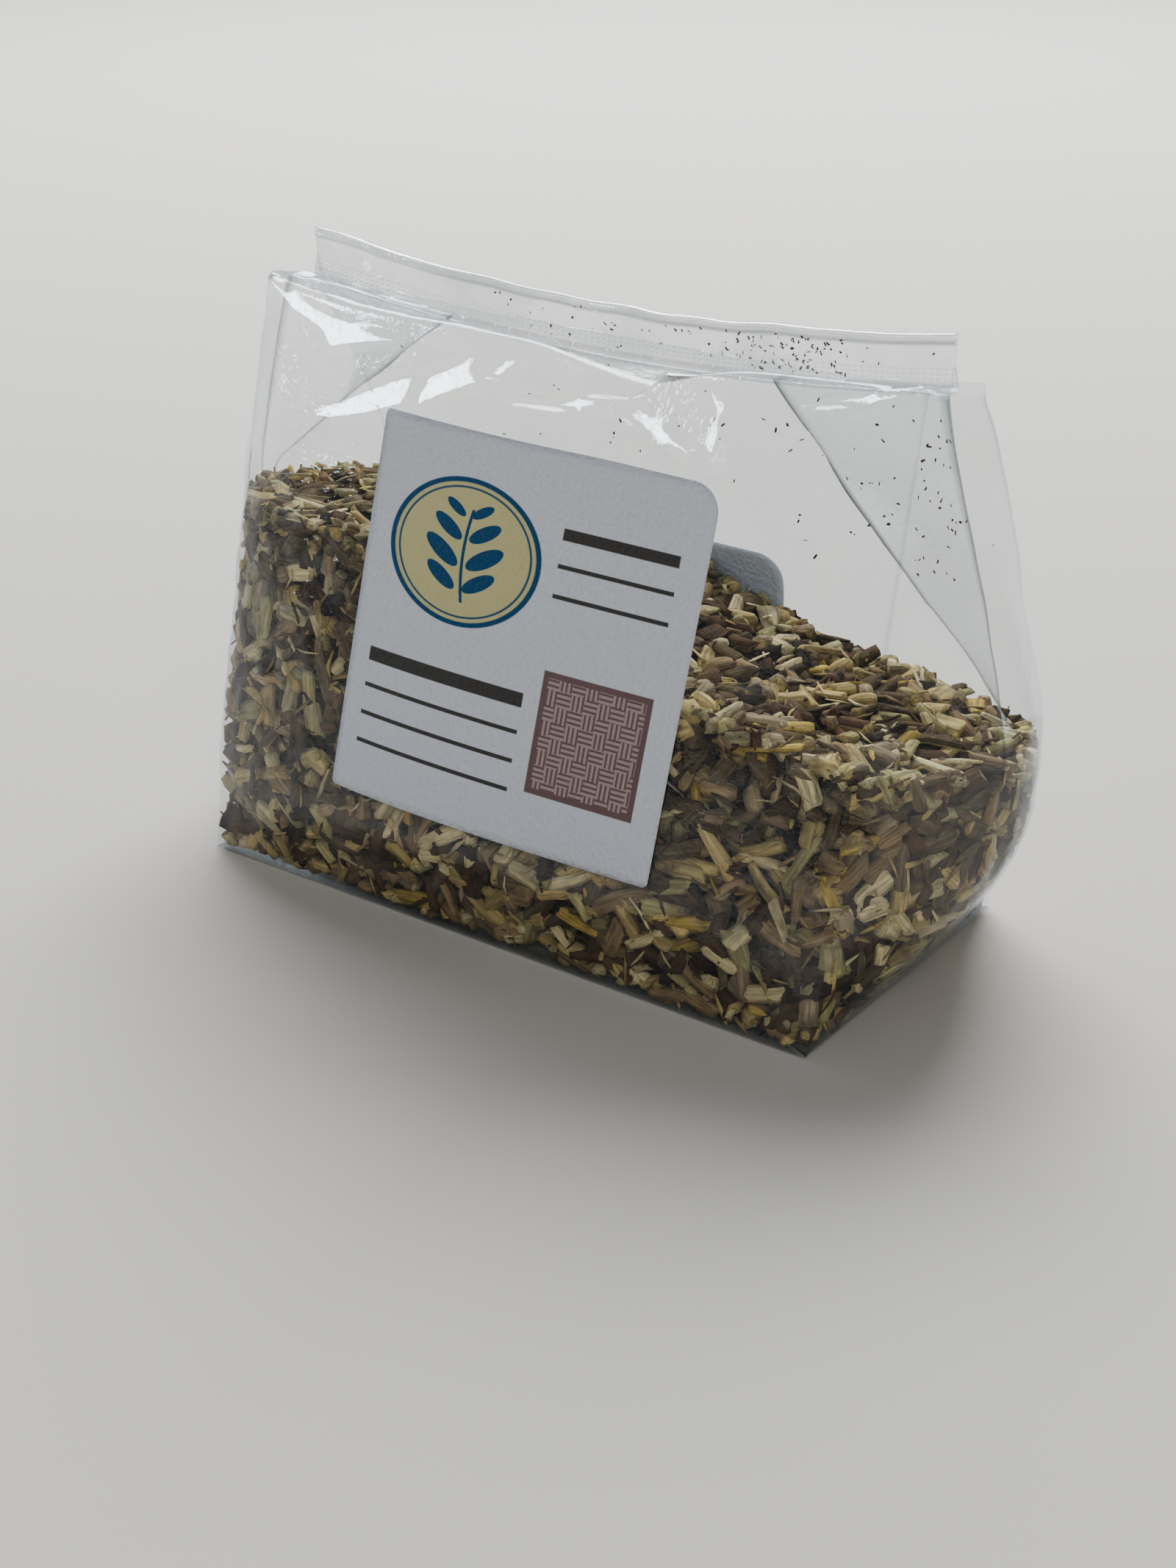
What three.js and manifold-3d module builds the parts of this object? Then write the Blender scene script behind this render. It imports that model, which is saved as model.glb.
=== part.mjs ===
// A clear side-gusseted film bag of cut licorice root, standing on its flat base.
// Millimetres, +Z up. The shapes are worked out round the middle of the bag's base, and
// the whole part is then centred over its origin.
import * as THREE from 'three';
import { mergeVertices } from 'three/addons/utils/BufferGeometryUtils.js';
import Module from 'manifold-3d';

// Driving dimensions of the bag: a 4 by 2 inch gusseted bag, filled to about half
const panelWidth = 101.6;       // width of the front and back panels, and of the header
const baseDepth = 50;           // depth of the flat base, front to back
const shoulderHeight = 80;      // where the front panel turns back to the header
const filmThickness = 0.6;      // film, drawn thicker than the real 0.04
const frontLean = 0.245;        // how far the front panel leans back for each 1 up
const frontBow = 6.9;           // how far the fill bows the front panel out
const bowSkew = 1;              // how much further left than the middle it bows most
const backBow = 3.5;            // and the back panel
const backUpright = 38;         // height to which the back panel stands upright
const bowHeight = 14;           // height at which the panels are bowed out in full
const backFlat = { from: 45, to: 78 };  // heights over which the back's bow dies out
const backShort = 0.025;        // share by which the back panel stands lower
const topHalfDepth = 6.2;       // how far the back panel is behind the middle at the top
const touchGap = 0.3;           // clearance between pieces that touch

// Each side gusset bulges out round the fill up to its apex, and is tucked in above it
const gussetInset = 25.4;       // how deep the crease is tucked in at the top
const rightGusset = { side: 1, apex: 36, bulge: 10.5 };
const leftGusset = { side: -1, apex: 50, bulge: 9.5 };
const foldShare = 0.4;          // share of the gusset's width in front of its outer fold
const bulgeHeight = 26;         // height at which the gussets bulge out in full
const frontFlare = { out: 1.4, height: 20 };  // how the front edges spread over the base
const backFlare = { out: 3, height: 25 };     // and the back edges
const foldTop = { past: 1.6, y: -1.2 };       // the outer fold at the top of the bag
const creaseTop = { y: 2.4, short: 0.035 };   // the centre crease there

// The ridge where the front panel turns back has a dent beside its middle
const ridgeLift = 1.5;
const dent = { x: 12, width: 11, drop: 5, depth: 3.5, from: 68 };
const ridgeTurn = 72;           // height from which the film turns over the ridge

// Header: the sealed and folded top of the bag, which sags between its two ends
const sealHeight = 76.3;        // seal line at the middle of the bag
const headerSag = 3.5;          // how much higher its ends stand than its middle
const headerRise = 6.4;         // from the seal line to the folded top edge
const headerY = 3.3;            // it stands a little behind the middle of the bag
const headerThickness = 1.2;
const foldRadius = 1.1;         // rolled top edge
const slitShare = 0.85;         // share of the shoulder that the walls cover
const rimRise = 0.45;           // most that the film's top edge stands over the seal line
const footHeight = 1.6;         // height of the sealed layers under the header's band
const headerSteps = 26;
const pocketTop = 63;           // height to which the gussets' layers stand apart

// Labels of paper, with the radii of their corners from the lower left anticlockwise
const labelThickness = 0.5;
const labelSteps = 7;           // steps along each side of a label
const frontLabel = { wall: 0, width: 50.8, height: 50.8, x: 1.9, z: 42.7, tilt: -2.5,
  radii: [0.8, 0.8, 3.9, 0.8] };
const backLabel = { wall: 4, width: 50.8, height: 31.8, x: -12.2, z: 27.3, tilt: 0,
  radii: [3.9, 3.9, 3.9, 3.9] };

// The cut root: chips that stand out of a smaller core, higher on the left
const heap = { middle: 43, fall: 8.5, fallCentre: 2, fallWidth: 26, slopeBack: 0.13 };
const coreDepth = 2.4;          // how deep the core lies under the chips' outer faces
const chipLength = [10.5, 17];
const chipWidth = [5.6, 8.4];
const chipThickness = [3.9, 5.4];
const nubShare = 0.3;           // share of the chips that are rounded nubs
const wallRows = 6;             // rows of chips up the walls, where the heap is highest
const rowSpacing = 9.3;
const wallSpacing = 11.5;       // spacing of the chips along a row
const topSpacing = 11;          // and of those on top of the heap
const baseSpacing = 17;         // and on the floor
const topLift = 0.6;            // how far the chips on top may lie over its mean height
const topRough = 1.3;           // and how far any corner of a chip may stand over it
const randomSeed = 20417;

const clamp = (x, low, high) => Math.min(high, Math.max(low, x));
const mix = (a, b, t) => a + (b - a) * t;
const smooth = (low, high, x) => {
  const t = clamp((x - low) / (high - low), 0, 1);
  return t * t * (3 - 2 * t);
};

// Seeded random numbers, 0 to 1
let randomState = randomSeed;
function random() {
  randomState = (randomState * 1664525 + 1013904223) % 4294967296;
  return randomState / 4294967296;
}
const between = ([low, high]) => mix(low, high, random());

// Height of the seal line across the bag: lowest in the middle
function sealZ(x) {
  return sealHeight + headerSag * (2 * x / panelWidth) ** 2;
}

// Depth of the dent under the ridge, 0 to 1
function dentAt(x) {
  return Math.exp(-(((x - dent.x) / dent.width) ** 2));
}

// Height on the front panel of what would be at h if its ridge were level
function frontZ(x, h) {
  const up = h / shoulderHeight;
  return h + up * ridgeLift - dent.drop * dentAt(x) * up ** 6;
}

// Corners of one gusset at height h: front edge, outer fold, centre crease, back edge
function gussetCorners({ side, apex, bulge }, h) {
  const edge = panelWidth / 2;
  const rise = clamp((h - backUpright) / (shoulderHeight - backUpright), 0, 1);
  const tuck = clamp((h - apex) / (shoulderHeight - apex), 0, 1);
  const out = bulge * Math.sin(clamp(h / bulgeHeight, 0, 1) * Math.PI / 2);
  const front = [
    edge + frontFlare.out * smooth(0, frontFlare.height, h),
    -baseDepth / 2 + frontLean * h, h,
  ];
  const back = [
    edge + backFlare.out * smooth(0, backFlare.height, h),
    mix(baseDepth / 2, topHalfDepth, rise ** 1.4), h * (1 - backShort),
  ];
  const curve = (share) => [
    mix(front[0], back[0], share) + out * 4 * share * (1 - share),
    mix(front[1], back[1], share), mix(front[2], back[2], share),
  ];
  const foldEnd = [edge + foldTop.past, foldTop.y, h];
  const creaseEnd = [edge - gussetInset, creaseTop.y, h * (1 - creaseTop.short)];
  const fold = curve(foldShare).map((v, axis) => mix(v, foldEnd[axis], tuck ** 1.1));
  const crease = curve(0.5).map((v, axis) => mix(v, creaseEnd[axis], tuck));
  const corners = [front, fold, crease, back].map(([x, y, z]) => [side * x, y, z]);
  return { corners, out: side * out * (1 - tuck) };
}

// Corners of the section moved inwards, so that each of its sides moves in by distance
function insetCorners(corners, distance) {
  return corners.map((corner, i) => {
    const before = corners.at(i - 1);
    const after = corners[(i + 1) % corners.length];
    const a = new THREE.Vector2(corner[0] - before[0], corner[1] - before[1]).normalize();
    const b = new THREE.Vector2(after[0] - corner[0], after[1] - corner[1]).normalize();
    const inward = new THREE.Vector2(-a.y - b.y, a.x + b.x);
    const reach = Math.min(2 / Math.max(inward.length(), 0.05), 12) * distance;
    inward.setLength(reach);
    return [corner[0] + inward.x, corner[1] + inward.y, corner[2]];
  });
}

// The sides of the section, round from the front left: how many steps each is drawn in,
// what share of a gusset it takes, and how far back its start lies at the seal line
const sides = [
  { steps: 14, share: 0, sealY: 0.8 },
  { steps: 3, share: foldShare, sealY: 0.8 },
  { steps: 3, share: 0.5 - foldShare, sealY: 2.4 },
  { steps: 4, share: 0.5, sealY: 3.4 },
  { steps: 12, share: 0, sealY: 5.8 },
  { steps: 4, share: 0.5, sealY: 5.8 },
  { steps: 3, share: 0.5 - foldShare, sealY: 3.4 },
  { steps: 3, share: foldShare, sealY: 2.4 },
];

// The bag's section at height h, moved inwards by inset, as a function of the side and
// of the way along it, 0 to 1. Over the shoulder, sealed is the share of the way from
// the ridge to the seal line.
function section(h, inset, sealed = 0) {
  const right = gussetCorners(rightGusset, h);
  const left = gussetCorners(leftGusset, h);
  const [leftFront, leftFold, leftCrease, leftBack] = left.corners;
  const outer = [leftFront, ...right.corners, leftBack, leftCrease, leftFold];
  outer.forEach((corner, i) => {
    corner[1] = mix(corner[1], sides[i].sealY, sealed);
  });
  const corners = inset > 0 ? insetCorners(outer, inset) : outer;
  const full = smooth(0, bowHeight, h) * (1 - sealed);
  const turned = smooth(ridgeTurn, shoulderHeight, h);
  const dented = dent.depth * smooth(dent.from, shoulderHeight, h) * (1 - sealed);
  return (side, along) => {
    const next = corners[(side + 1) % sides.length];
    const hump = 4 * along * (1 - along);
    let [x, y, z] = corners[side].map((value, axis) => mix(value, next[axis], along));
    x += (side < 4 ? right.out : left.out) * sides[side].share ** 2 * hump;
    if (side === 0) {
      const skewed = along * (1 + bowSkew) / (1 + bowSkew * along);
      y -= frontBow * full * 4 * skewed * (1 - skewed);
      y += dented * dentAt(x) * hump;
    }
    if (side === 4) {
      y += backBow * full * (1 - smooth(backFlat.from, backFlat.to, h)) * hump;
    }
    const atFront = { 0: 1, 1: 1 - along, 7: along }[side] ?? 0;
    z = mix(z, frontZ(x, z), atFront);
    z = mix(z, sealZ(x), sealed);
    z -= atFront * inset * turned;
    return new THREE.Vector3(x, y, z);
  };
}

// Every step round the section
const roundSteps = sides.flatMap(({ steps }, side) => (
  Array.from({ length: steps }, (_, step) => [side, step / steps])));

function sectionLoop(at) {
  return roundSteps.map(([side, along]) => at(side, along));
}

// Closed skin over a row of loops, with a cap on the first and on the last, which are
// flattened along the two axes given
function skin(loops, capAxes = ['x', 'y']) {
  const count = loops[0].length;
  const points = loops.flat().flatMap((p) => [p.x, p.y, p.z]);
  const faces = [];
  for (let row = 0; row + 1 < loops.length; row += 1) {
    for (let i = 0; i < count; i += 1) {
      const next = (i + 1) % count;
      const low = row * count;
      const high = low + count;
      faces.push(low + i, low + next, high + next, low + i, high + next, high + i);
    }
  }
  for (const row of [0, loops.length - 1]) {
    const flat = loops[row].map((p) => new THREE.Vector2(p[capAxes[0]], p[capAxes[1]]));
    const triangles = THREE.ShapeUtils.triangulateShape(flat, []);
    const turns = triangles.map((t) => THREE.ShapeUtils.area(t.map((i) => flat[i])));
    const wanted = THREE.ShapeUtils.area(flat) * (row === 0 ? -1 : 1);
    const kept = turns.reduce((sum, area) => sum + area, 0) * wanted > 0;
    for (const [a, b, c] of triangles) {
      faces.push(...(kept ? [a, b, c] : [a, c, b]).map((i) => i + row * count));
    }
  }
  const geometry = new THREE.BufferGeometry();
  geometry.setAttribute('position', new THREE.Float32BufferAttribute(points, 3));
  geometry.setIndex(faces);
  return geometry;
}

const wallHeights = [0, 2, 6, 11, 17, 23, 29, 36, 43, 50, 57, 63, 69, 74, 77.5,
  shoulderHeight];
const shoulderShares = [0.3, 0.6, slitShare];

// The bag's outer face, closed over the slit under the header
function bagGeometry() {
  return skin([
    ...wallHeights.map((h) => sectionLoop(section(h, 0))),
    ...shoulderShares.map((share) => sectionLoop(section(shoulderHeight, 0, share))),
  ]);
}

// The space in the bag. Over pocketTop the layers of the gussets are pressed together,
// and it goes on between them only, up and out of the slit.
function hollowGeometry() {
  const loops = wallHeights.filter((h) => h <= pocketTop).map((h) => (
    sectionLoop(section(Math.max(h, filmThickness), filmThickness))));
  const levels = [
    { h: 71, sealed: 0, lift: 0, cut: 0.27 },
    { h: shoulderHeight, sealed: 1, lift: -2 * filmThickness, cut: 0.3 },
    { h: shoulderHeight, sealed: 1, lift: 3, cut: 0.31 },
  ];
  const rightEnd = [0, 0.12, 0.5, 1];
  const leftEnd = [0, 0.5, 0.88, 1];
  for (const { h, sealed, lift, cut } of levels) {
    const at = section(h, filmThickness, sealed);
    loops.push(roundSteps.map(([side, along]) => {
      if (side === 0 || side === 4) {
        return at(side, mix(cut, 1 - cut, along));
      }
      const end = side < 4 ? rightEnd : leftEnd;
      const step = (side - 1) % 4;
      const across = mix(end[step], end[step + 1], along);
      const [from, to] = side < 4 ? [0, 4] : [4, 0];
      return at(from, 1 - cut).lerp(at(to, cut), across);
    }).map((p) => p.add(new THREE.Vector3(0, 0, lift))));
  }
  return skin(loops);
}

// A bar that follows the seal line across the bag. Its section is an outline of points,
// each its place back and its height over the seal line.
function sealBar(outline, overhang) {
  const half = panelWidth / 2;
  const across = Array.from({ length: headerSteps + 1 }, (_, i) => (
    mix(-half, half, i / headerSteps)));
  if (overhang > 0) {
    across.unshift(-half - overhang);
    across.push(half + overhang);
  }
  const loops = across.map((x) => outline.map(([y, up]) => (
    new THREE.Vector3(x, y, sealZ(x) + up))));
  return skin(loops, ['y', 'z']);
}

const rimY = section(shoulderHeight, 0, slitShare)(0, 0).y;

// The header: the four layers of film come together, are sealed, and fold over at the top
function headerGeometry() {
  const half = headerThickness / 2;
  const foot = rimRise + touchGap;
  const neck = foot + footHeight;
  const rollFoot = headerRise - 2 * foldRadius;
  const outline = [
    [rimY + touchGap, foot], [sides[4].sealY - touchGap, foot],
    [headerY + half, neck], [headerY + half, rollFoot],
  ];
  for (let angle = -45; angle <= 225; angle += 45) {
    const turn = THREE.MathUtils.degToRad(angle);
    outline.push([
      headerY + foldRadius * Math.cos(turn),
      headerRise - foldRadius + foldRadius * Math.sin(turn),
    ]);
  }
  outline.push([headerY - half, rollFoot], [headerY - half, neck]);
  return sealBar(outline, 0);
}

// The room that the film leaves for the header
function headerRoom() {
  const outline = [
    [rimY, rimRise], [topHalfDepth + 1, rimRise], [topHalfDepth + 1, headerRise],
    [rimY, headerRise],
  ];
  return sealBar(outline, 4);
}

// Point on the outer face of the front or back panel at x and height z, off by distance
function panelPoint(side, x, z, distance) {
  const seat = (px, pz) => {
    let along = 0.5;
    let h = pz;
    let point = null;
    for (let pass = 0; pass < 6; pass += 1) {
      const at = section(h, 0);
      const start = at(side, 0).x;
      along = (px - start) / (at(side, 1).x - start);
      point = at(side, along);
      h += pz - point.z;
    }
    return point;
  };
  const point = seat(x, z);
  const across = seat(x + 0.5, z).sub(point);
  const upwards = seat(x, z + 0.5).sub(point);
  const normal = across.cross(upwards).normalize();
  normal.multiplyScalar(normal.y * (side === 0 ? -1 : 1) < 0 ? -1 : 1);
  return point.addScaledVector(normal, distance);
}

// Outline of a label, anticlockwise: at each corner an arc, then a side in short steps
function labelOutline({ width, height, radii, tilt }) {
  const turn = THREE.MathUtils.degToRad(tilt);
  const outline = [];
  const corners = [[-1, -1], [1, -1], [1, 1], [-1, 1]];
  const arcs = corners.map(([right, up], i) => {
    const middle = [right * (width / 2 - radii[i]), up * (height / 2 - radii[i])];
    return [0, 1, 2].map((step) => {
      const angle = Math.PI * (1 + i / 2 + step / 4);
      return new THREE.Vector2(
        middle[0] + radii[i] * Math.cos(angle), middle[1] + radii[i] * Math.sin(angle));
    });
  });
  arcs.forEach((arc, i) => {
    const next = arcs[(i + 1) % arcs.length][0];
    outline.push(...arc);
    for (let step = 1; step < labelSteps; step += 1) {
      outline.push(arc[2].clone().lerp(next, step / labelSteps));
    }
  });
  return outline.map((p) => p.rotateAround(new THREE.Vector2(), turn));
}

// A label: its face and its back follow the panel, ring by ring from its middle
function labelGeometry(label) {
  const outline = labelOutline(label);
  const ring = (scale, distance) => outline.map((p) => (
    panelPoint(label.wall, label.x + p.x * scale, label.z + p.y * scale, distance)));
  const scales = [0.2, 0.4, 0.6, 0.8, 1];
  const near = scales.map((scale) => ring(scale, touchGap));
  const far = scales.map((scale) => ring(scale, touchGap + labelThickness)).reverse();
  const loops = [...near, ...far];
  return skin(label.wall === 0 ? loops : loops.reverse(), ['x', 'z']);
}

// Height of the top of the heap: it falls to the right and to the back
function heapZ(x, y) {
  const { middle, fall, fallCentre, fallWidth, slopeBack } = heap;
  return middle - fall * Math.tanh((x - fallCentre) / fallWidth) - slopeBack * y;
}

// Height of the heap where it meets the wall at one step round the section
function heapEdge(side, along, inset) {
  let h = heap.middle;
  for (let pass = 0; pass < 8; pass += 1) {
    const point = section(h, inset)(side, along);
    h += 0.8 * (heapZ(point.x, point.y) - point.z);
  }
  return h;
}

// Where the cut root may reach: this far inside the film's outer face, and down to here
const wallInset = filmThickness + touchGap;
const floorZ = filmThickness + touchGap;

// The core of the heap: up the walls, then in to the middle of the top
function coreGeometry() {
  const inset = wallInset + coreDepth;
  const edges = roundSteps.map(([side, along]) => heapEdge(side, along, inset) - coreDepth);
  const loops = [0, 0.3, 0.65, 1].map((share) => roundSteps.map(([side, along], i) => (
    section(mix(floorZ + coreDepth, edges[i], share), inset)(side, along))));
  const rim = loops.at(-1);
  for (const scale of [0.75, 0.5, 0.25]) {
    loops.push(rim.map((p) => {
      const [x, y] = [p.x * scale, p.y * scale];
      const level = heapZ(p.x, p.y) - p.z;
      return new THREE.Vector3(x, y, heapZ(x, y) - mix(coreDepth, level, scale));
    }));
  }
  return skin(loops);
}

// One chip, along X: a split sliver with uneven ends, or a rounded nub
function chipGeometry(length, width, thickness) {
  const nub = random() < nubShare;
  const geometry = nub
    ? new THREE.CylinderGeometry(width * 0.42, width * 0.5, length * 0.7, 5, 1)
      .rotateZ(Math.PI / 2)
    : new THREE.BoxGeometry(length, width, thickness);
  geometry.deleteAttribute('normal');
  geometry.deleteAttribute('uv');
  const merged = mergeVertices(geometry, 1e-4);
  const position = merged.getAttribute('position');
  const [nearTaper, farTaper] = [mix(0.6, 1, random()), mix(0.5, 0.95, random())];
  for (let i = 0; i < position.count; i += 1) {
    const taper = position.getX(i) > 0 ? farTaper : nearTaper;
    position.setX(i, position.getX(i) + (random() - 0.5) * length * 0.16);
    position.setY(i, position.getY(i) * taper + (random() - 0.5) * width * 0.16);
    position.setZ(i, position.getZ(i) * mix(1, taper, 0.5));
  }
  return merged;
}

// The film's inner face and the floor under the chips, as planes with a point on each
const innerPlanes = [];
for (let row = 1; row + 1 < wallHeights.length - 3; row += 1) {
  const low = sectionLoop(section(wallHeights[row], wallInset));
  const high = sectionLoop(section(wallHeights[row + 1], wallInset));
  low.forEach((corner, i) => {
    const next = (i + 1) % low.length;
    const along = low[next].clone().sub(corner);
    const upwards = high[i].clone().sub(corner);
    innerPlanes.push({
      point: corner.clone().add(high[next]).multiplyScalar(0.5),
      normal: along.cross(upwards).normalize(),
    });
  });
}

// Moves a chip in from the film, the floor and the air over the heap until none of its
// corners passes them
function settleChip(geometry) {
  const reach = 13;
  const corner = new THREE.Vector3();
  for (let pass = 0; pass < 6; pass += 1) {
    let worst = 0;
    let push = null;
    const position = geometry.getAttribute('position');
    for (let i = 0; i < position.count; i += 1) {
      corner.fromBufferAttribute(position, i);
      if (floorZ - corner.z > worst) {
        worst = floorZ - corner.z;
        push = new THREE.Vector3(0, 0, 1);
      }
      const over = corner.z - heapZ(corner.x, corner.y) - topRough;
      if (over > worst) {
        worst = over;
        push = new THREE.Vector3(0, 0, -1);
      }
      for (const { point, normal } of innerPlanes) {
        const past = corner.clone().sub(point).dot(normal);
        if (past > worst && corner.distanceTo(point) < reach) {
          worst = past;
          push = normal.clone().negate();
        }
      }
    }
    if (!push) {
      return;
    }
    push.multiplyScalar(worst + 0.02);
    geometry.translate(push.x, push.y, push.z);
  }
}

// A chip with its middle at point, its broad face square to normal and a random turn
function placeChip(point, normal, lift) {
  const thickness = between(chipThickness);
  const chip = chipGeometry(between(chipLength), between(chipWidth), thickness);
  chip.rotateX((random() - 0.5) * 0.5);
  chip.rotateZ(random() * Math.PI);
  const facing = new THREE.Quaternion();
  facing.setFromUnitVectors(new THREE.Vector3(0, 0, 1), normal);
  chip.applyQuaternion(facing);
  const middle = point.clone().addScaledVector(normal, lift - thickness / 2);
  chip.translate(middle.x, middle.y, middle.z);
  settleChip(chip);
  return chip;
}

// Chips against the walls, row by row up to the top of the heap
function wallChips() {
  const chips = [];
  for (let row = 0; row < wallRows; row += 1) {
    let carried = (row % 2) * wallSpacing / 2;
    roundSteps.forEach(([side, along], i) => {
      const [nextSide, nextAlong] = roundSteps[(i + 1) % roundSteps.length];
      const edge = heapEdge(side, along, wallInset) - 2;
      const level = rowSpacing * (row + mix(0.35, 0.65, random()));
      if (level > edge + rowSpacing * 0.4) {
        carried = 0;
        return;
      }
      const h = Math.min(level, edge);
      const here = section(h, wallInset)(side, along);
      const next = section(h, wallInset)(nextSide, nextAlong);
      const above = section(h + 1, wallInset)(side, along);
      const step = next.clone().sub(here);
      const normal = step.clone().cross(above.sub(here)).normalize();
      const length = step.length();
      let gone = wallSpacing - carried;
      while (gone < length) {
        const point = here.clone().lerp(next, gone / length);
        chips.push(placeChip(point, normal, -0.4 * random()));
        gone += wallSpacing * mix(0.9, 1.1, random());
      }
      carried = wallSpacing - (gone - length);
    });
  }
  return chips;
}

// Chips scattered over the top of the heap, or flat on the floor of the bag
function layerChips(spacing, height, facing, tip) {
  const chips = [];
  const edge = section(20, wallInset + 3);
  const limit = [edge(1, 1).x - 1, edge(4, 0.5).y, edge(0, 0).y];
  for (let x = -limit[0]; x <= limit[0]; x += spacing) {
    for (let y = limit[2] + 1; y <= limit[1]; y += spacing * 0.8) {
      const [px, py] = [x, y].map((value) => value + (random() - 0.5) * spacing * 0.6);
      const lean = [random() - 0.5, random() - 0.5].map((value) => value * tip);
      const normal = new THREE.Vector3(lean[0], lean[1], facing).normalize();
      chips.push(placeChip(new THREE.Vector3(px, py, height(px, py)), normal, 0));
    }
  }
  return chips;
}

const wasm = await Module();
wasm.setup();

function toSolid(geometry) {
  const mesh = new wasm.Mesh({
    numProp: 3,
    vertProperties: new Float32Array(geometry.getAttribute('position').array),
    triVerts: new Uint32Array(geometry.getIndex().array),
  });
  return new wasm.Manifold(mesh);
}

// Geometry of a solid's largest body: loose scraps and sealed pockets are dropped
function largestBody(solid) {
  const { vertProperties, triVerts } = solid.getMesh();
  const owner = Array.from({ length: vertProperties.length / 3 }, (_, i) => i);
  const root = (i) => {
    let at = i;
    while (owner[at] !== at) {
      owner[at] = owner[owner[at]];
      at = owner[at];
    }
    return at;
  };
  for (let i = 0; i < triVerts.length; i += 3) {
    owner[root(triVerts[i + 1])] = root(triVerts[i]);
    owner[root(triVerts[i + 2])] = root(triVerts[i]);
  }
  const bodies = new Map();
  for (let i = 0; i < triVerts.length; i += 3) {
    const key = root(triVerts[i]);
    if (!bodies.has(key)) {
      bodies.set(key, []);
    }
    bodies.get(key).push(triVerts[i], triVerts[i + 1], triVerts[i + 2]);
  }
  const largest = [...bodies.values()].reduce((a, b) => (b.length > a.length ? b : a));
  const geometry = new THREE.BufferGeometry();
  geometry.setAttribute('position', new THREE.BufferAttribute(vertProperties, 3));
  geometry.setIndex(largest);
  return mergeVertices(geometry.toNonIndexed(), 1e-5);
}

function heapGeometry() {
  const chips = [
    ...wallChips(),
    ...layerChips(topSpacing, (x, y) => heapZ(x, y) + topLift * random(), 1, 0.9),
    ...layerChips(baseSpacing, () => floorZ, -1, 0.1),
  ];
  const solids = [coreGeometry(), ...chips].map(toSolid);
  return largestBody(wasm.Manifold.union(solids));
}

const part = new THREE.Group();

function addPiece(name, geometry, color, roughness) {
  const material = new THREE.MeshStandardMaterial({ color, roughness, metalness: 0 });
  const mesh = new THREE.Mesh(geometry, material);
  mesh.name = name;
  part.add(mesh);
}

const film = toSolid(bagGeometry())
  .subtract(toSolid(hollowGeometry()))
  .subtract(toSolid(headerRoom()));
addPiece('film_bag', largestBody(film), 0xdfe6ea, 0.08);
addPiece('header_band', headerGeometry(), 0xdfe6ea, 0.12);
addPiece('cut_root', heapGeometry(), 0xb99b5e, 0.85);
addPiece('front_label', labelGeometry(frontLabel), 0xd9dbe2, 0.8);
addPiece('back_label', labelGeometry(backLabel), 0xd9dbe2, 0.8);

// The origin is on the base, under the middle of the whole part
const extent = new THREE.Box3().setFromObject(part);
const middle = extent.getCenter(new THREE.Vector3());
part.position.set(-middle.x, -middle.y, -extent.min.z);

export default part;
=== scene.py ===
import math

import bpy
import numpy as np
from mathutils.kdtree import KDTree
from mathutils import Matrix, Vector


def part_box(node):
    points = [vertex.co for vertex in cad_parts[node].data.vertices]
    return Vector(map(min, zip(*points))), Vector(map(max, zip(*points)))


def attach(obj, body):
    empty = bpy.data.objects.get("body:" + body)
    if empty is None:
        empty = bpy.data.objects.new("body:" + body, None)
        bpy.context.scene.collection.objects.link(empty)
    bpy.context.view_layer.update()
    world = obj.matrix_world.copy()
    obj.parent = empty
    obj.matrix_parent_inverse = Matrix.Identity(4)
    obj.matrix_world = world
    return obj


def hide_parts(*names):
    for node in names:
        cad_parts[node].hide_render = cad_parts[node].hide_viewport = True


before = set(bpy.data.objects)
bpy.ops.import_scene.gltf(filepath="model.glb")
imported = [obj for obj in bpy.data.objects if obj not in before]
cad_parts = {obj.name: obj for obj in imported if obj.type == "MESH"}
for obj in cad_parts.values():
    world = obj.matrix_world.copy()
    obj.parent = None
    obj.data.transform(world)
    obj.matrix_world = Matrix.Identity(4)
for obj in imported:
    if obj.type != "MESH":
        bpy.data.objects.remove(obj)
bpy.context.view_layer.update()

# Film bag
# The bag is a tube of clear film, folded to a flat base with a gusset down each side.
# The fill bulges its lower part, and above the fill the gussets are tucked in and the
# front panel turns back over a ridge to the header. Sizes are in millimetres.
MM = 0.001
PANEL_WIDTH = 101.6
BASE_DEPTH = 50.0
SHOULDER = 80.0                 # where the front panel turns back to the header
FRONT_LEAN = 0.245              # how far the front panel leans back for each 1 up
FRONT_BOW, BACK_BOW = 6.9, 3.5  # how far the fill bows the panels out
BOW_SKEW = 1.0                  # how much further left than its middle the front bows most
BOW_HEIGHT = 14                 # height at which the panels are bowed out in full
BACK_FLAT = (45, 78)            # heights over which the back's bow dies out
BACK_UPRIGHT = 38.0             # height to which the back panel stands upright
BACK_SHARE = 0.975              # the back panel's height as a share of the front's
TOP_HALF_DEPTH = 6.2            # how far back the back panel is at the top
RIGHT_GUSSET, LEFT_GUSSET = (1, 36.0, 10.5), (-1, 50.0, 9.5)  # side, apex and bulge
GUSSET_INSET = 25.4             # how deep the centre crease is tucked in at the top
BULGE_HEIGHT = 26               # height at which the gussets bulge out in full
FOLD_SHARE = 0.4                # share of the gusset in front of its outer fold
FRONT_FLARE, BACK_FLARE = (1.4, 20), (3, 25)  # how far the edges spread, by what height
FOLD_TOP = (1.6, -1.2)          # the outer fold at the top, past the edge and back
CREASE_TOP = (2.4, 0.965)       # the crease at the top, back, and its share of the height
SEAL_HEIGHT = 76.3              # the seal line at the middle of the bag
HEADER_SAG = 3.5                # how much higher its ends are
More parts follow.
